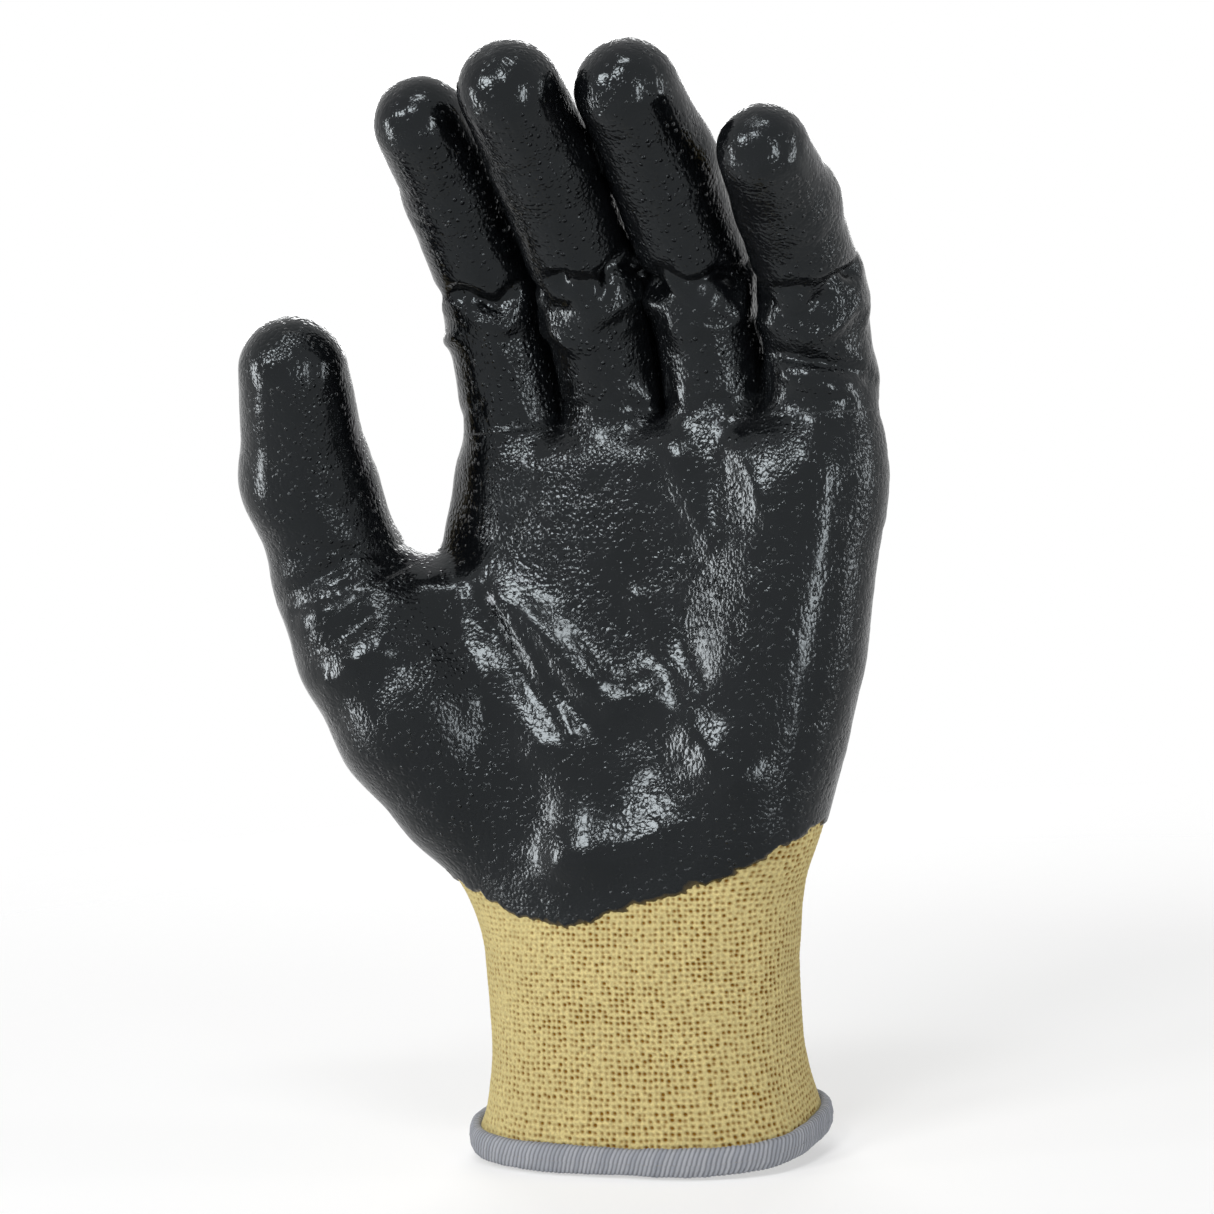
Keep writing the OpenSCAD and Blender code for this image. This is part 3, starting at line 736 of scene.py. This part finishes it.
def coat_lift(depth):
    return COAT_LOW + (COAT_HIGH - COAT_LOW) * smooth(depth / COAT_RAMP + 0.5)


# The hem sits askew: how far it dips on the palm side and up to which height, and the cuff's half depth
HEM_DIP = 2.5
HEM_EASE = 28.0
CUFF_DEPTH = 24.0
RAY_STEPS = 7


def settle(points):
    """The cuff's end as it stands, lower on the palm side."""
    share = 1 - smooth(points[:, 2] / HEM_EASE)
    moved = points.copy()
    moved[:, 2] += HEM_DIP * share * points[:, 1] / CUFF_DEPTH
    return moved


def on_cuff(turns, z, out=0.0):
    """Points where rays from the middle at these heights leave the glove, moved out by a distance."""
    cx, cy, half_w, front, *_ = palm_size(z)
    ray = np.stack([np.sin(turns), np.cos(turns), np.zeros_like(turns)], 1)
    middle = np.stack([cx, cy, z], 1)
    radius = (half_w + front) / 2
    for _ in range(RAY_STEPS):
        radius = radius - in_parts(glove_field, middle + radius[:, None] * ray)
    return middle + (radius + out)[:, None] * ray


def tube_quads(rows, columns):
    """Quads of a grid of points that closes on itself along its columns."""
    r, c = np.indices((rows - 1, columns)).reshape(2, -1)
    n = (c + 1) % columns
    return np.stack([r * columns + c, (r + 1) * columns + c, (r + 1) * columns + n, r * columns + n], 1)


def corner_uv(uv, quads, period):
    """Stitch coordinates of face corners, with those across the seam moved on by a whole turn."""
    corners = uv[quads]
    u = corners[:, :, 0]
    turn = np.broadcast_to(period, len(uv))[quads]
    crossing = (u.max(1) - u.min(1))[:, None] > turn / 2
    corners[:, :, 0] = np.where(crossing & (u < 0), u + turn, u)
    return corners


def piece(name, points, quads, normals, corners, values, material):
    """An object from some quads of a surface, with its own points."""
    used, compact = np.unique(quads, return_inverse=True)
    faces = compact.reshape(quads.shape)
    mesh = mesh_from(name, points[used], faces)
    mesh.normals_split_custom_set_from_vertices(normals[used])
    layer = mesh.uv_layers.new(name="stitch")
    layer.data.foreach_set("uv", corners.astype(np.float32).ravel())
    for key, value in values.items():
        attribute = mesh.attributes.new(key, "FLOAT", "POINT")
        attribute.data.foreach_set("value", value[used].astype(np.float32))
    mesh.materials.append(material)
    return placed(name, mesh)


def linear(*srgb):
    """A colour written in 0 to 255 as a shader takes it."""
    return tuple((c / 255) ** 2.2 for c in srgb) + (1.0,)


class Nodes:
    """The nodes of a material or a world, and its own shader."""

    def __init__(self, owner, shader):
        owner.use_nodes = True
        self.owner = owner
        self.tree = owner.node_tree
        self.shader = self.tree.nodes[shader]

    def set(self, name, value):
        self.feed(self.shader.inputs[name], value)

    def feed(self, socket, value):
        if isinstance(value, bpy.types.NodeSocket):
            self.tree.links.new(value, socket)
        else:
            socket.default_value = value

    def add(self, kind, inputs=(), **settings):
        """The outputs of a new node."""
        node = self.tree.nodes.new(kind)
        for key, value in settings.items():
            setattr(node, key, value)
        for key, value in dict(inputs).items():
            self.feed(node.inputs[key], value)
        return node.outputs

    def math(self, operation, *values, clamp=False):
        inputs = dict(enumerate(values))
        return self.add("ShaderNodeMath", inputs, operation=operation, use_clamp=clamp)[0]

    def times(self, a, b):
        return self.math("MULTIPLY", a, b)

    def mix(self, share, a, b):
        inputs = {0: share, 6: a, 7: b}
        return self.add("ShaderNodeMix", inputs, data_type="RGBA", clamp_factor=True)[2]

    def noise(self, vector, scale, detail=2.0, roughness=0.5):
        inputs = {"Vector": vector, "Scale": scale, "Detail": detail, "Roughness": roughness}
        return self.add("ShaderNodeTexNoise", inputs)["Fac"]

    def between(self, value, low, high, start=0.0, end=1.0):
        inputs = {0: value, 1: low, 2: high, 3: start, 4: end}
        return self.add("ShaderNodeMapRange", inputs, clamp=True)[0]

    def place(self):
        """Object coordinates in millimetres."""
        coordinates = self.add("ShaderNodeTexCoord")["Object"]
        inputs = {0: coordinates, "Scale": 1 / MM}
        return self.add("ShaderNodeVectorMath", inputs, operation="SCALE")[0]

    def stitches(self):
        """Wale and course numbers."""
        return self.add("ShaderNodeUVMap", uv_map="stitch")[0]

    def attribute(self, name):
        return self.add("ShaderNodeAttribute", attribute_name=name)["Fac"]

    def bump(self, height, distance, strength=1.0, normal=None):
        inputs = {"Height": height, "Distance": distance * MM, "Strength": strength}
        if normal is not None:
            inputs["Normal"] = normal
        return self.add("ShaderNodeBump", inputs)[0]


def new_material(name):
    return Nodes(bpy.data.materials.new(name), "Principled BSDF")


# The coating's grains: size, how far they are pushed about, height, and the share of it left where use has
# rubbed them; and size, share and height of the steep ones
GRAIN_SIZE = 0.85
GRAIN_DRIFT = 0.8
GRAIN_HEIGHT = 0.1
GRAIN_LEFT = 0.4
SPARK_SIZE = 0.9
SPARK_SHARE = 0.36
SPARK_HEIGHT = 0.3


def stitch_holes(k):
    """Holes between the loops of a knit, as a jittered grid of dots of uneven strength."""
    inputs = {"Vector": k.stitches(), "Scale": 1.0, "Randomness": 0.45}
    dots = k.add("ShaderNodeTexVoronoi", inputs, voronoi_dimensions="2D")
    chance = k.add("ShaderNodeSeparateColor", {0: dots["Color"]})[0]
    dot = k.between(dots["Distance"], 0.5, 0.14)
    return k.times(dot, k.between(chance, 0.0, 1.0, 0.35, 1.0))


def knit_material(name, light, dark, carved):
    """Plain knit: spun loops with a hole between each four, carved in the mesh or drawn, and painted shade
    that darkens each hole.
    """
    k = new_material(name)
    where = k.place()
    hole = k.attribute("hole") if carved else stitch_holes(k)
    fibre = k.noise(where, 1.6, 3.0, 0.6)
    patch = k.noise(where, 0.07, 2.0)
    shaded = tuple(c * 0.68 for c in light[:3]) + (1.0,)
    tone = k.mix(k.between(fibre, 0.34, 0.66), shaded, light)
    tone = k.mix(k.between(patch, 0.35, 0.7, 0.0, 0.35), tone, shaded)
    # The dark colour in the holes is painted shade between the loops.
    k.set("Base Color", k.mix(k.between(hole, 0.08, 0.68), tone, dark))
    k.set("Roughness", k.between(fibre, 0.2, 0.8, 0.7, 0.95))
    k.set("Specular IOR Level", 0.2)
    k.set("Normal", k.bump(k.math("SUBTRACT", fibre, hole), 0.22, 0.7))
    return k.owner


def grain_domes(k, where):
    """Blunt grains that touch, steeper in some patches than in others, as a height from 0 downward."""
    inputs = {"Vector": where, "Scale": 0.7, "Detail": 1.0}
    drift = k.add("ShaderNodeTexNoise", inputs)["Color"]
    inputs = {0: drift, 1: (GRAIN_DRIFT,) * 3, 2: where}
    bent = k.add("ShaderNodeVectorMath", inputs, operation="MULTIPLY_ADD")[0]
    inputs = {"Vector": bent, "Scale": 1 / GRAIN_SIZE}
    away = k.add("ShaderNodeTexVoronoi", inputs)["Distance"]
    steep = k.between(k.noise(where, 0.3, 2.0), 0.35, 0.65, 0.35, 1.6)
    return k.times(k.times(away, away), k.times(steep, -1.0))


def steep_grains(k, where):
    """Here and there a small steep grain, as a height from 0 to 1."""
    cells = k.add("ShaderNodeTexVoronoi", {"Vector": where, "Scale": 1 / SPARK_SIZE})
    chance = k.add("ShaderNodeSeparateColor", {0: cells["Color"]})[0]
    chosen = k.between(chance, 1 - SPARK_SHARE, 1.0, 0.0, 1.0)
    away = k.math("DIVIDE", cells["Distance"], 0.5)
    dome = k.math("SUBTRACT", 1.0, k.times(away, away), clamp=True)
    return k.times(dome, chosen)


def coat_material():
    """Foam nitrile: near black, blunt grains with fine pores over the knit's print, matt along its edge."""
    k = new_material("nitrile_coating")
    where = k.place()
    pores = k.noise(where, 2.4, 2.0, 0.6)
    patch = k.noise(where, 0.085, 2.0)
    depth = k.attribute("coat")
    dark = k.mix(patch, linear(11, 12, 13), linear(19, 20, 22))
    k.set("Base Color", k.mix(k.between(depth, -0.5, 0.7), linear(88, 74, 42), dark))
    smooth_part = k.between(patch, 0.3, 0.7, 0.1, 0.16)
    matt = k.between(depth, 0.5, 11.0, 1.0, 0.0)
    k.set("Roughness", k.math("ADD", smooth_part, k.times(matt, 0.12), clamp=True))
    k.set("Specular IOR Level", 0.27)
    k.set("Specular Tint", linear(240, 250, 255))
    print_marks = k.times(stitch_holes(k), k.between(k.noise(where, 0.05, 1.0), 0.4, 0.6))
    left = k.between(k.attribute("rubbed"), 0.0, 0.8, 1.0, GRAIN_LEFT)
    fine = k.bump(k.times(pores, left), 0.03)
    marks = k.bump(k.times(print_marks, k.times(left, -1.0)), 0.05, 1.0, fine)
    sparks = k.bump(k.times(steep_grains(k, where), left), SPARK_HEIGHT, 1.0, marks)
    k.set("Normal", k.bump(k.times(grain_domes(k, where), left), GRAIN_HEIGHT, 1.0, sparks))
    return k.owner


def thread_material():
    """Overlock thread: spun yarn wrapped side by side, with painted shade in the grooves between the
    threads.
    """
    k = new_material("overlock_thread")
    where = k.place()
    u, v, _ = k.add("ShaderNodeSeparateXYZ", {0: k.stitches()})
    number = k.add("ShaderNodeCombineXYZ", {0: k.math("FLOOR", u)})[0]
    chance = k.add("ShaderNodeTexWhiteNoise", {"Vector": number}, noise_dimensions="2D")["Value"]
    wave = k.math("SINE", k.times(u, math.pi))
    groove_shade = k.math("POWER", k.math("SUBTRACT", 1.0, k.times(wave, wave)), 2.0)
    twist = k.math("SINE", k.times(k.math("ADD", k.times(u, 2.0), v), 9.0))
    fibre = k.noise(where, 4.2, 3.0, 0.7)
    tone = k.mix(chance, linear(140, 143, 150), linear(156, 158, 164))
    tone = k.mix(k.between(fibre, 0.45, 0.8, 0.0, 0.5), tone, linear(128, 131, 138))
    # The grooves between threads are darkened to a grey as painted shade.
    k.set("Base Color", k.mix(k.times(groove_shade, 0.75), tone, linear(92, 95, 100)))
    k.set("Roughness", k.between(fibre, 0.2, 0.8, 0.75, 0.95))
    k.set("Specular IOR Level", 0.25)
    k.set("Normal", k.bump(k.math("ADD", k.times(twist, 0.2), fibre), 0.15, 0.6))
    return k.owner


# Each knit's second colour is painted shade, laid in the holes between its loops.
STRAW, OCHRE_HOLE_SHADE = linear(199, 183, 127), linear(110, 75, 12)
KNIT = knit_material("aramid_knit", STRAW, OCHRE_HOLE_SHADE, False)
CUFF_KNIT = knit_material("aramid_knit_cuff", STRAW, OCHRE_HOLE_SHADE, True)
LINING = knit_material("aramid_lining", linear(196, 180, 128), linear(120, 94, 34), False)
ELASTIC = knit_material("elastic_yarn", linear(206, 200, 182), linear(150, 142, 120), False)
COAT = coat_material()
THREAD = thread_material()

# Where the thumb starts past its root fold, and the cuff's highest and lowest row
THUMB_START = 1.5
CUFF_TOP = 76.0
CUFF_FLOOR = 2.0


def bend_wrist(thing):
    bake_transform(thing)


def bend_digit(thing):
    """Bakes a digit's piece's placing into its mesh."""
    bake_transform(thing)


# The fewest faces of an island of coating, the labels kept for a digit's parts, where the coating's grains
# fade, and how far bare knit goes on under the coating and the cuff
SMALLEST_FLAKE = 400
PARTS = 10
PEBBLE_EDGE = 3.0
PEBBLES_RUBBED = 0.6
KNIT_UNDER = 1.4
KNIT_LAP = 1.0


def without_flakes(quads, keep, count):
    """Which quads to keep when small loose islands of them are left out."""
    chosen = quads[keep]
    label = np.arange(count)
    while True:
        lower = label.copy()
        least = lower[chosen].min(1)
        for corner in chosen.T:
            np.minimum.at(lower, corner, least)
        lower = lower[lower]
        if np.array_equal(lower, label):
            break
        label = lower
    size = np.bincount(label[chosen[:, 0]], minlength=count)
    kept = keep.copy()
    kept[keep] = size[label[chosen[:, 0]]] > SMALLEST_FLAKE
    return kept


def make_skin(skin):
    """The coating's and the bare knit's pieces."""
    sculpted, rubbed = strokes(skin)
    height = creases(skin) + layered(skin.points, WEAR)
    grainy = (1 - PEBBLES_RUBBED * rubbed) * smooth(skin.coat / PEBBLE_EDGE)
    base = skin.points + skin.normals * height[:, None] + sculpted[:, None] * BACK
    coat = base + skin.normals * (coat_lift(skin.coat) + pebbles(base) * grainy)[:, None]
    knit = base - skin.normals * KNIT_SINK
    faces = skin.quads
    label = skin.digit * PARTS + skin.part
    label = np.sort(label[faces], axis=1)[:, 1]
    deepest, thinnest = skin.coat[faces].max(1), skin.coat[faces].min(1)
    above = skin.points[faces][:, :, 2].min(1) > CUFF_TOP - KNIT_LAP
    coated = without_flakes(faces, deepest > -COAT_RAMP / 2, len(skin.points))
    uv = corner_uv(skin.stitches, faces, skin.period)
    values = {"coat": skin.coat, "rubbed": rubbed}
    layers = (
        ("coat", coat, coated, COAT, "nitrile_coating", "coating"),
        ("knit", knit, (thinnest < KNIT_UNDER) & above, KNIT, "aramid_knit", "liner"),
    )
    for layer, points, keep, material, slot, node in layers:
        normals = normals_of(points, faces)
        mine = keep & (label < 0)
        hand = piece(f"hand_{layer}", points, faces[mine], normals, uv[mine], values, material)
        bend_wrist(hand)
        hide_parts(f"palm_{node}")
        for index, digit in enumerate(DIGITS.values()):
            for part, (fold, section) in enumerate(zip(FOLDS[digit.name], SECTIONS[digit.name])):
                mine = keep & (label == index * PARTS + part)
                name = f"{digit.name}_{fold}_{layer}"
                thing = piece(name, points, faces[mine], normals, uv[mine], values, material)
                bend_digit(thing)
                bends = [f"{digit.name}_{fold}_bend"] if node == "liner" else []
                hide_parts(f"{digit.name}_{section}_{node}", *bends)


# The cuff's knit: points to a wale, height of a row, relief of the loops, and form and strength of holes
CUFF_SAMPLES = 5
CUFF_ROW = 0.27
STITCH_RELIEF = 0.5
HOLE_HALF = np.array([0.33, 0.3])
HOLE_JITTER = 0.17
HOLE_SEED = 41
HOLE_LEVEL = 0.25
HOLE_MEAN, HOLE_SPREAD = 0.7, 0.3
# How wales and courses wander, how open the holes are on the cuff's tight side and where that ends, and
# where the loops fade out at the top and under the coating
WALE_DRIFT = ((0.35, 9.0, 42),)
COURSE_DRIFT = ((0.3, 12.0, 43),)
TIGHT_SHARE, TIGHT_X, TIGHT_EASE = 0.55, -34.0, 24.0
TIGHT_UNEVEN = ((0.2, 14.0, 44),)
LOOP_FADE, LOOP_FADE_EASE = 8.0, 7.0
LOOPS_UNDER = 2.5


def loop_holes(stitches, wales):
    """How open a knit is at stitch coordinates, from 0 to 1, with a hole between each four loops."""
    base = np.floor(stitches)
    total = np.zeros(len(stitches))
    for step in np.ndindex(3, 3):
        cell = base + np.array(step) - 1
        chance = lattice(np.stack([cell[:, 0] % wales, cell[:, 1], 0 * cell[:, 0]], 1), HOLE_SEED)
        away = (stitches - cell - 0.5 - HOLE_JITTER * chance[:, :2]) / HOLE_HALF
        total = np.maximum(total, (HOLE_MEAN + HOLE_SPREAD * chance[:, 2]) * np.exp(-(away**2).sum(1)))
    return total


def make_cuff():
    """The cuff's knit, loop by loop, up to where the coating or the hand's own knit takes over."""
    columns = HAND_WALES * CUFF_SAMPLES
    rows = int((CUFF_TOP - CUFF_FLOOR) / CUFF_ROW)
    wale = (np.arange(columns) / columns - 0.5) * HAND_WALES
    turns = np.tile(np.interp(wale, WALE_NUMBERS, WALE_TURNS), rows)
    z = np.repeat(np.linspace(CUFF_FLOOR, CUFF_TOP, rows), columns)
    points = on_cuff(turns, z)
    quads = tube_quads(rows, columns)
    normals = normals_of(points, quads)
    stitches = np.stack([np.tile(wale, rows), z / COURSE], 1)
    depth = hand_coat(points)
    drift = np.stack([layered(points, WALE_DRIFT), layered(points, COURSE_DRIFT)], 1)
    open_share = TIGHT_SHARE + (1 - TIGHT_SHARE) * smooth((points[:, 0] - TIGHT_X) / TIGHT_EASE)
    open_share = open_share + layered(points, TIGHT_UNEVEN)
    hole = np.clip(loop_holes(stitches + drift, HAND_WALES) * open_share, 0, 1)
    fade = 1 - smooth((z - CUFF_TOP + LOOP_FADE) / LOOP_FADE_EASE)
    height = layered(points, WEAR) - KNIT_SINK - STITCH_RELIEF * (hole - HOLE_LEVEL) * fade
    points = settle(points + normals * height[:, None])
    keep = depth[quads].min(1) < LOOPS_UNDER
    uv = corner_uv(stitches, quads, HAND_WALES)
    normals = normals_of(points, quads)
    cuff = piece("cuff_knit_skin", points, quads[keep], normals, uv[keep], {"hole": hole}, CUFF_KNIT)
    bend_wrist(cuff)
    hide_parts("cuff_knit", "wrist_bend")


# The hem: threads round it, points to a thread and round it, half height and half thickness, how square it
# is and how far it stands out, and the slant, relief and unevenness of its threads
HEM_THREADS = 212
HEM_SAMPLES = 8
HEM_ROUND = 28
HEM_HALF = (2.7, 1.4)
HEM_SQUARE = 0.8
HEM_OUT = 0.1
HEM_SLANT = 1.1
HEM_RELIEF = 0.2
THREAD_ROUND = 0.7
THREAD_WANDER = ((0.18, 4.0, 31),)
HEM_LUMPS = ((0.25, 6.0, 32),)
HEM_FUZZ = ((0.12, 2.0, 33),)
FUZZ_TURN = 40


def make_hem():
    """The overlocked edge: threads side by side round the cuff's end."""
    columns = HEM_THREADS * HEM_SAMPLES
    number = (np.arange(columns) / columns - 0.5) * HEM_THREADS
    turns = np.interp(number / HEM_THREADS * HAND_WALES, WALE_NUMBERS, WALE_TURNS)
    middle = on_cuff(turns, np.full(columns, HEM_HALF[0]))
    ahead = np.roll(middle, -1, axis=0) - np.roll(middle, 1, axis=0)
    out = np.stack([ahead[:, 1], -ahead[:, 0], np.zeros(columns)], 1)
    out /= np.linalg.norm(out, axis=1, keepdims=True)
    out *= np.sign(np.sum(out * middle, axis=1))[:, None]
    rows = HEM_ROUND + 1
    angle = np.repeat(np.arange(rows) / HEM_ROUND * 2 * math.pi, columns)
    middle, out = np.tile(middle, (rows, 1)), np.tile(out, (rows, 1))
    wander = layered(middle * [1, 1, 0] + angle[:, None], THREAD_WANDER)
    thread = np.tile(number, rows) + HEM_SLANT * np.sin(angle) + wander
    high = HEM_RELIEF * (np.abs(np.sin(math.pi * thread)) ** THREAD_ROUND - 0.5)
    high = high + layered(middle, HEM_LUMPS) + layered(middle + FUZZ_TURN * angle[:, None], HEM_FUZZ)
    across, upward = (np.abs(x) ** HEM_SQUARE * np.sign(x) for x in (np.cos(angle), np.sin(angle)))
    points = middle + out * HEM_OUT + ((HEM_HALF[1] + high) * across)[:, None] * out
    points[:, 2] += (HEM_HALF[0] + high) * upward
    points = settle(points)
    quads = tube_quads(rows, columns)[:, ::-1]
    corners = corner_uv(np.stack([thread, angle], 1), quads, HEM_THREADS)
    hem = piece("hem_thread", points, quads, normals_of(points, quads), corners, {}, THREAD)
    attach(hem, "cuff")
    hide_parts("cuff_hem")


# The elastic's courses: heights, distance in, half thickness, points round the cuff and round the yarn, and
# its twist; and the lining's distance in
ELASTIC_Z = (9.2, 12.4, 15.5)
ELASTIC_IN = -2.1
ELASTIC_HALF = 0.55
ELASTIC_POINTS = (720, 12)
ELASTIC_TWISTS, ELASTIC_WALES = 60, 40
ELASTIC_MEAN, ELASTIC_SPREAD = 0.8, 0.2
LINING_IN = -1.9


def make_elastic():
    """Three courses of elastic yarn laid inside the cuff, each twisted from two ends."""
    columns, ring = ELASTIC_POINTS
    turns = np.arange(columns) / columns * 2 * math.pi - math.pi
    points, quads, uv = [], [], []
    for z in ELASTIC_Z:
        middle = on_cuff(turns, np.full(columns, z), ELASTIC_IN)
        out = np.stack([np.sin(turns), np.cos(turns), np.zeros(columns)], 1)
        offset = sum(len(x) for x in points)
        for angle in np.arange(ring + 1) / ring * 2 * math.pi:
            twist = np.abs(np.cos(angle + turns * ELASTIC_TWISTS))
            half = ELASTIC_HALF * (ELASTIC_MEAN + ELASTIC_SPREAD * twist)
            points.append(middle + half[:, None] * (math.cos(angle) * out + [0, 0, math.sin(angle)]))
            uv.append(np.stack([turns * ELASTIC_WALES, np.full(columns, angle)], 1))
        quads.append(tube_quads(ring + 1, columns)[:, ::-1] + offset)
    points = settle(np.concatenate(points))
    quads = np.concatenate(quads)
    corners = corner_uv(np.concatenate(uv), quads, 2 * math.pi * ELASTIC_WALES)
    elastic = piece("elastic_courses", points, quads, normals_of(points, quads), corners, {}, ELASTIC)
    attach(elastic, "cuff")
    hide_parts("cuff_elastic")


def make_lining(grid, low):
    """The liner's inner side, seen through the cuff's opening."""
    points, quads = surface(grid, low, LINING_IN)
    quads = quads[:, ::-1]
    height = points[quads][:, :, 2]
    along, _, distance, _ = THUMB.place(points)
    in_thumb = (along > THUMB_START) & (distance < digit_width(THUMB, along) + DIGIT_REACH["thumb"])
    keep = (height.min(1) > CUFF_FLOOR) & (height.max(1) < ROOT_CUT) & ~in_thumb[quads].any(1)
    quads = quads[keep]
    corners = corner_uv(hand_stitches(points), quads, HAND_WALES)
    lining = piece("liner_inside", settle(points), quads, normals_of(points, quads), corners, {}, LINING)
    bend_wrist(lining)
    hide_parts("palm_liner")


distances, lowest = sampled(glove_field)
make_skin(Skin(*subdivided(*surface(distances, lowest, 0.0))))
make_cuff()
make_hem()
make_elastic()
make_lining(distances, lowest)


def make_camera():
    camera = bpy.data.cameras.new("camera")
    camera.sensor_width = SENSOR
    camera.lens = SENSOR * DISTANCE * SCALE / FRAME_SIDE
    camera.shift_x = 0.5 - TARGET_PIXEL[0] / FRAME_SIDE
    camera.shift_y = TARGET_PIXEL[1] / FRAME_SIDE - 0.5
    camera.clip_start = NEAREST
    thing = placed("camera", camera)
    place = (TARGET + BACK * DISTANCE) * MM
    thing.matrix_world = Matrix([*zip(RIGHT, UP, BACK, place), (0, 0, 0, 1)])
    bpy.context.scene.camera = thing


# Softboxes: azimuth, taken as the camera's is, elevation, width and height in metres, and power
LAMPS = {
    "key": (-24.0, 24.0, 0.24, 0.16, 3.2),
    "front": (4.0, 34.0, 0.18, 0.16, 2.2),
    "left": (-60.0, -3.0, 0.11, 0.5, 3.8),
    "right": (50.0, -4.0, 0.1, 0.5, 3.0),
    "side": (100.0, 0.0, 0.1, 0.6, 2.8),
    "back": (205.0, 24.0, 0.6, 0.5, 5.0),
    "top": (20.0, 60.0, 0.3, 0.09, 2.0),
}
LAMP_DISTANCE = 0.9


def make_lamp(name, azimuth, elevation, width, height, power):
    """A softbox that looks at the glove."""
    lamp = bpy.data.lights.new(f"softbox_{name}", "AREA")
    lamp.shape = "RECTANGLE"
    lamp.size, lamp.size_y = width, height
    lamp.energy = power
    thing = placed(f"softbox_{name}", lamp)
    a, e = math.radians(azimuth), math.radians(elevation)
    away = Vector((math.sin(a) * math.cos(e), -math.cos(a) * math.cos(e), math.sin(e)))
    thing.location = Vector(TARGET * MM) + away * LAMP_DISTANCE
    thing.rotation_euler = away.to_track_quat("Z", "Y").to_euler()


def seen_or_mirrored(nodes):
    """1 for what the camera sees, straight or in a mirror or through glass."""
    rays = nodes.add("ShaderNodeLightPath")
    share = nodes.math("ADD", rays["Is Camera Ray"], rays["Is Glossy Ray"], clamp=True)
    return nodes.math("ADD", share, rays["Is Transmission Ray"], clamp=True)


WHITE = (1.0, 1.0, 1.0, 1.0)
WORLD_LIGHT = 0.08


def make_world():
    """White round the object where it is seen or mirrored, and a dimmer white that lights it."""
    world = bpy.data.worlds.new("studio")
    bpy.context.scene.world = world
    nodes = Nodes(world, "Background")
    nodes.set("Color", WHITE)
    nodes.set("Strength", WORLD_LIGHT)
    seen = nodes.add("ShaderNodeBackground", {"Color": WHITE, "Strength": 1.0})[0]
    inputs = {0: seen_or_mirrored(nodes), 1: nodes.shader.outputs[0], 2: seen}
    both = nodes.add("ShaderNodeMixShader", inputs)[0]
    nodes.feed(nodes.tree.nodes["World Output"].inputs["Surface"], both)


# The floor: its height, half side in metres, colour, where it fades out, and its share of plain white
FLOOR_Z = -3.2
FLOOR_HALF = 1.0
FLOOR_COLOUR = (0.93, 0.93, 0.93, 1.0)
FLOOR_FADE = (0.26, 0.6)
FLOOR_LIFT = 0.55


def make_floor():
    """A plain pale floor that fades into the white round it."""
    signs = ((-1, -1), (1, -1), (1, 1), (-1, 1))
    mesh = bpy.data.meshes.new("floor")
    corners = [(x * FLOOR_HALF, y * FLOOR_HALF, FLOOR_Z * MM) for x, y in signs]
    mesh.from_pydata(corners, [], [(0, 1, 2, 3)])
    k = new_material("floor")
    k.set("Base Color", FLOOR_COLOUR)
    k.set("Roughness", 0.8)
    k.set("Specular IOR Level", 0.1)
    where = k.add("ShaderNodeTexCoord")["Object"]
    reach = k.add("ShaderNodeVectorMath", {0: where}, operation="LENGTH")["Value"]
    clear = k.add("ShaderNodeBsdfTransparent")[0]
    share = k.between(reach, *FLOOR_FADE)
    white = k.add("ShaderNodeEmission")[0]
    lift = k.times(seen_or_mirrored(k), FLOOR_LIFT)
    lifted = k.add("ShaderNodeMixShader", {0: lift, 1: k.shader.outputs[0], 2: white})[0]
    both = k.add("ShaderNodeMixShader", {0: share, 1: lifted, 2: clear})[0]
    k.feed(k.tree.nodes["Material Output"].inputs["Surface"], both)
    mesh.materials.append(k.owner)
    floor = placed("floor", mesh)


make_camera()
make_floor()
make_world()
for lamp_name, lamp in LAMPS.items():
    make_lamp(lamp_name, *lamp)
bpy.context.scene.view_settings.view_transform = "Standard"
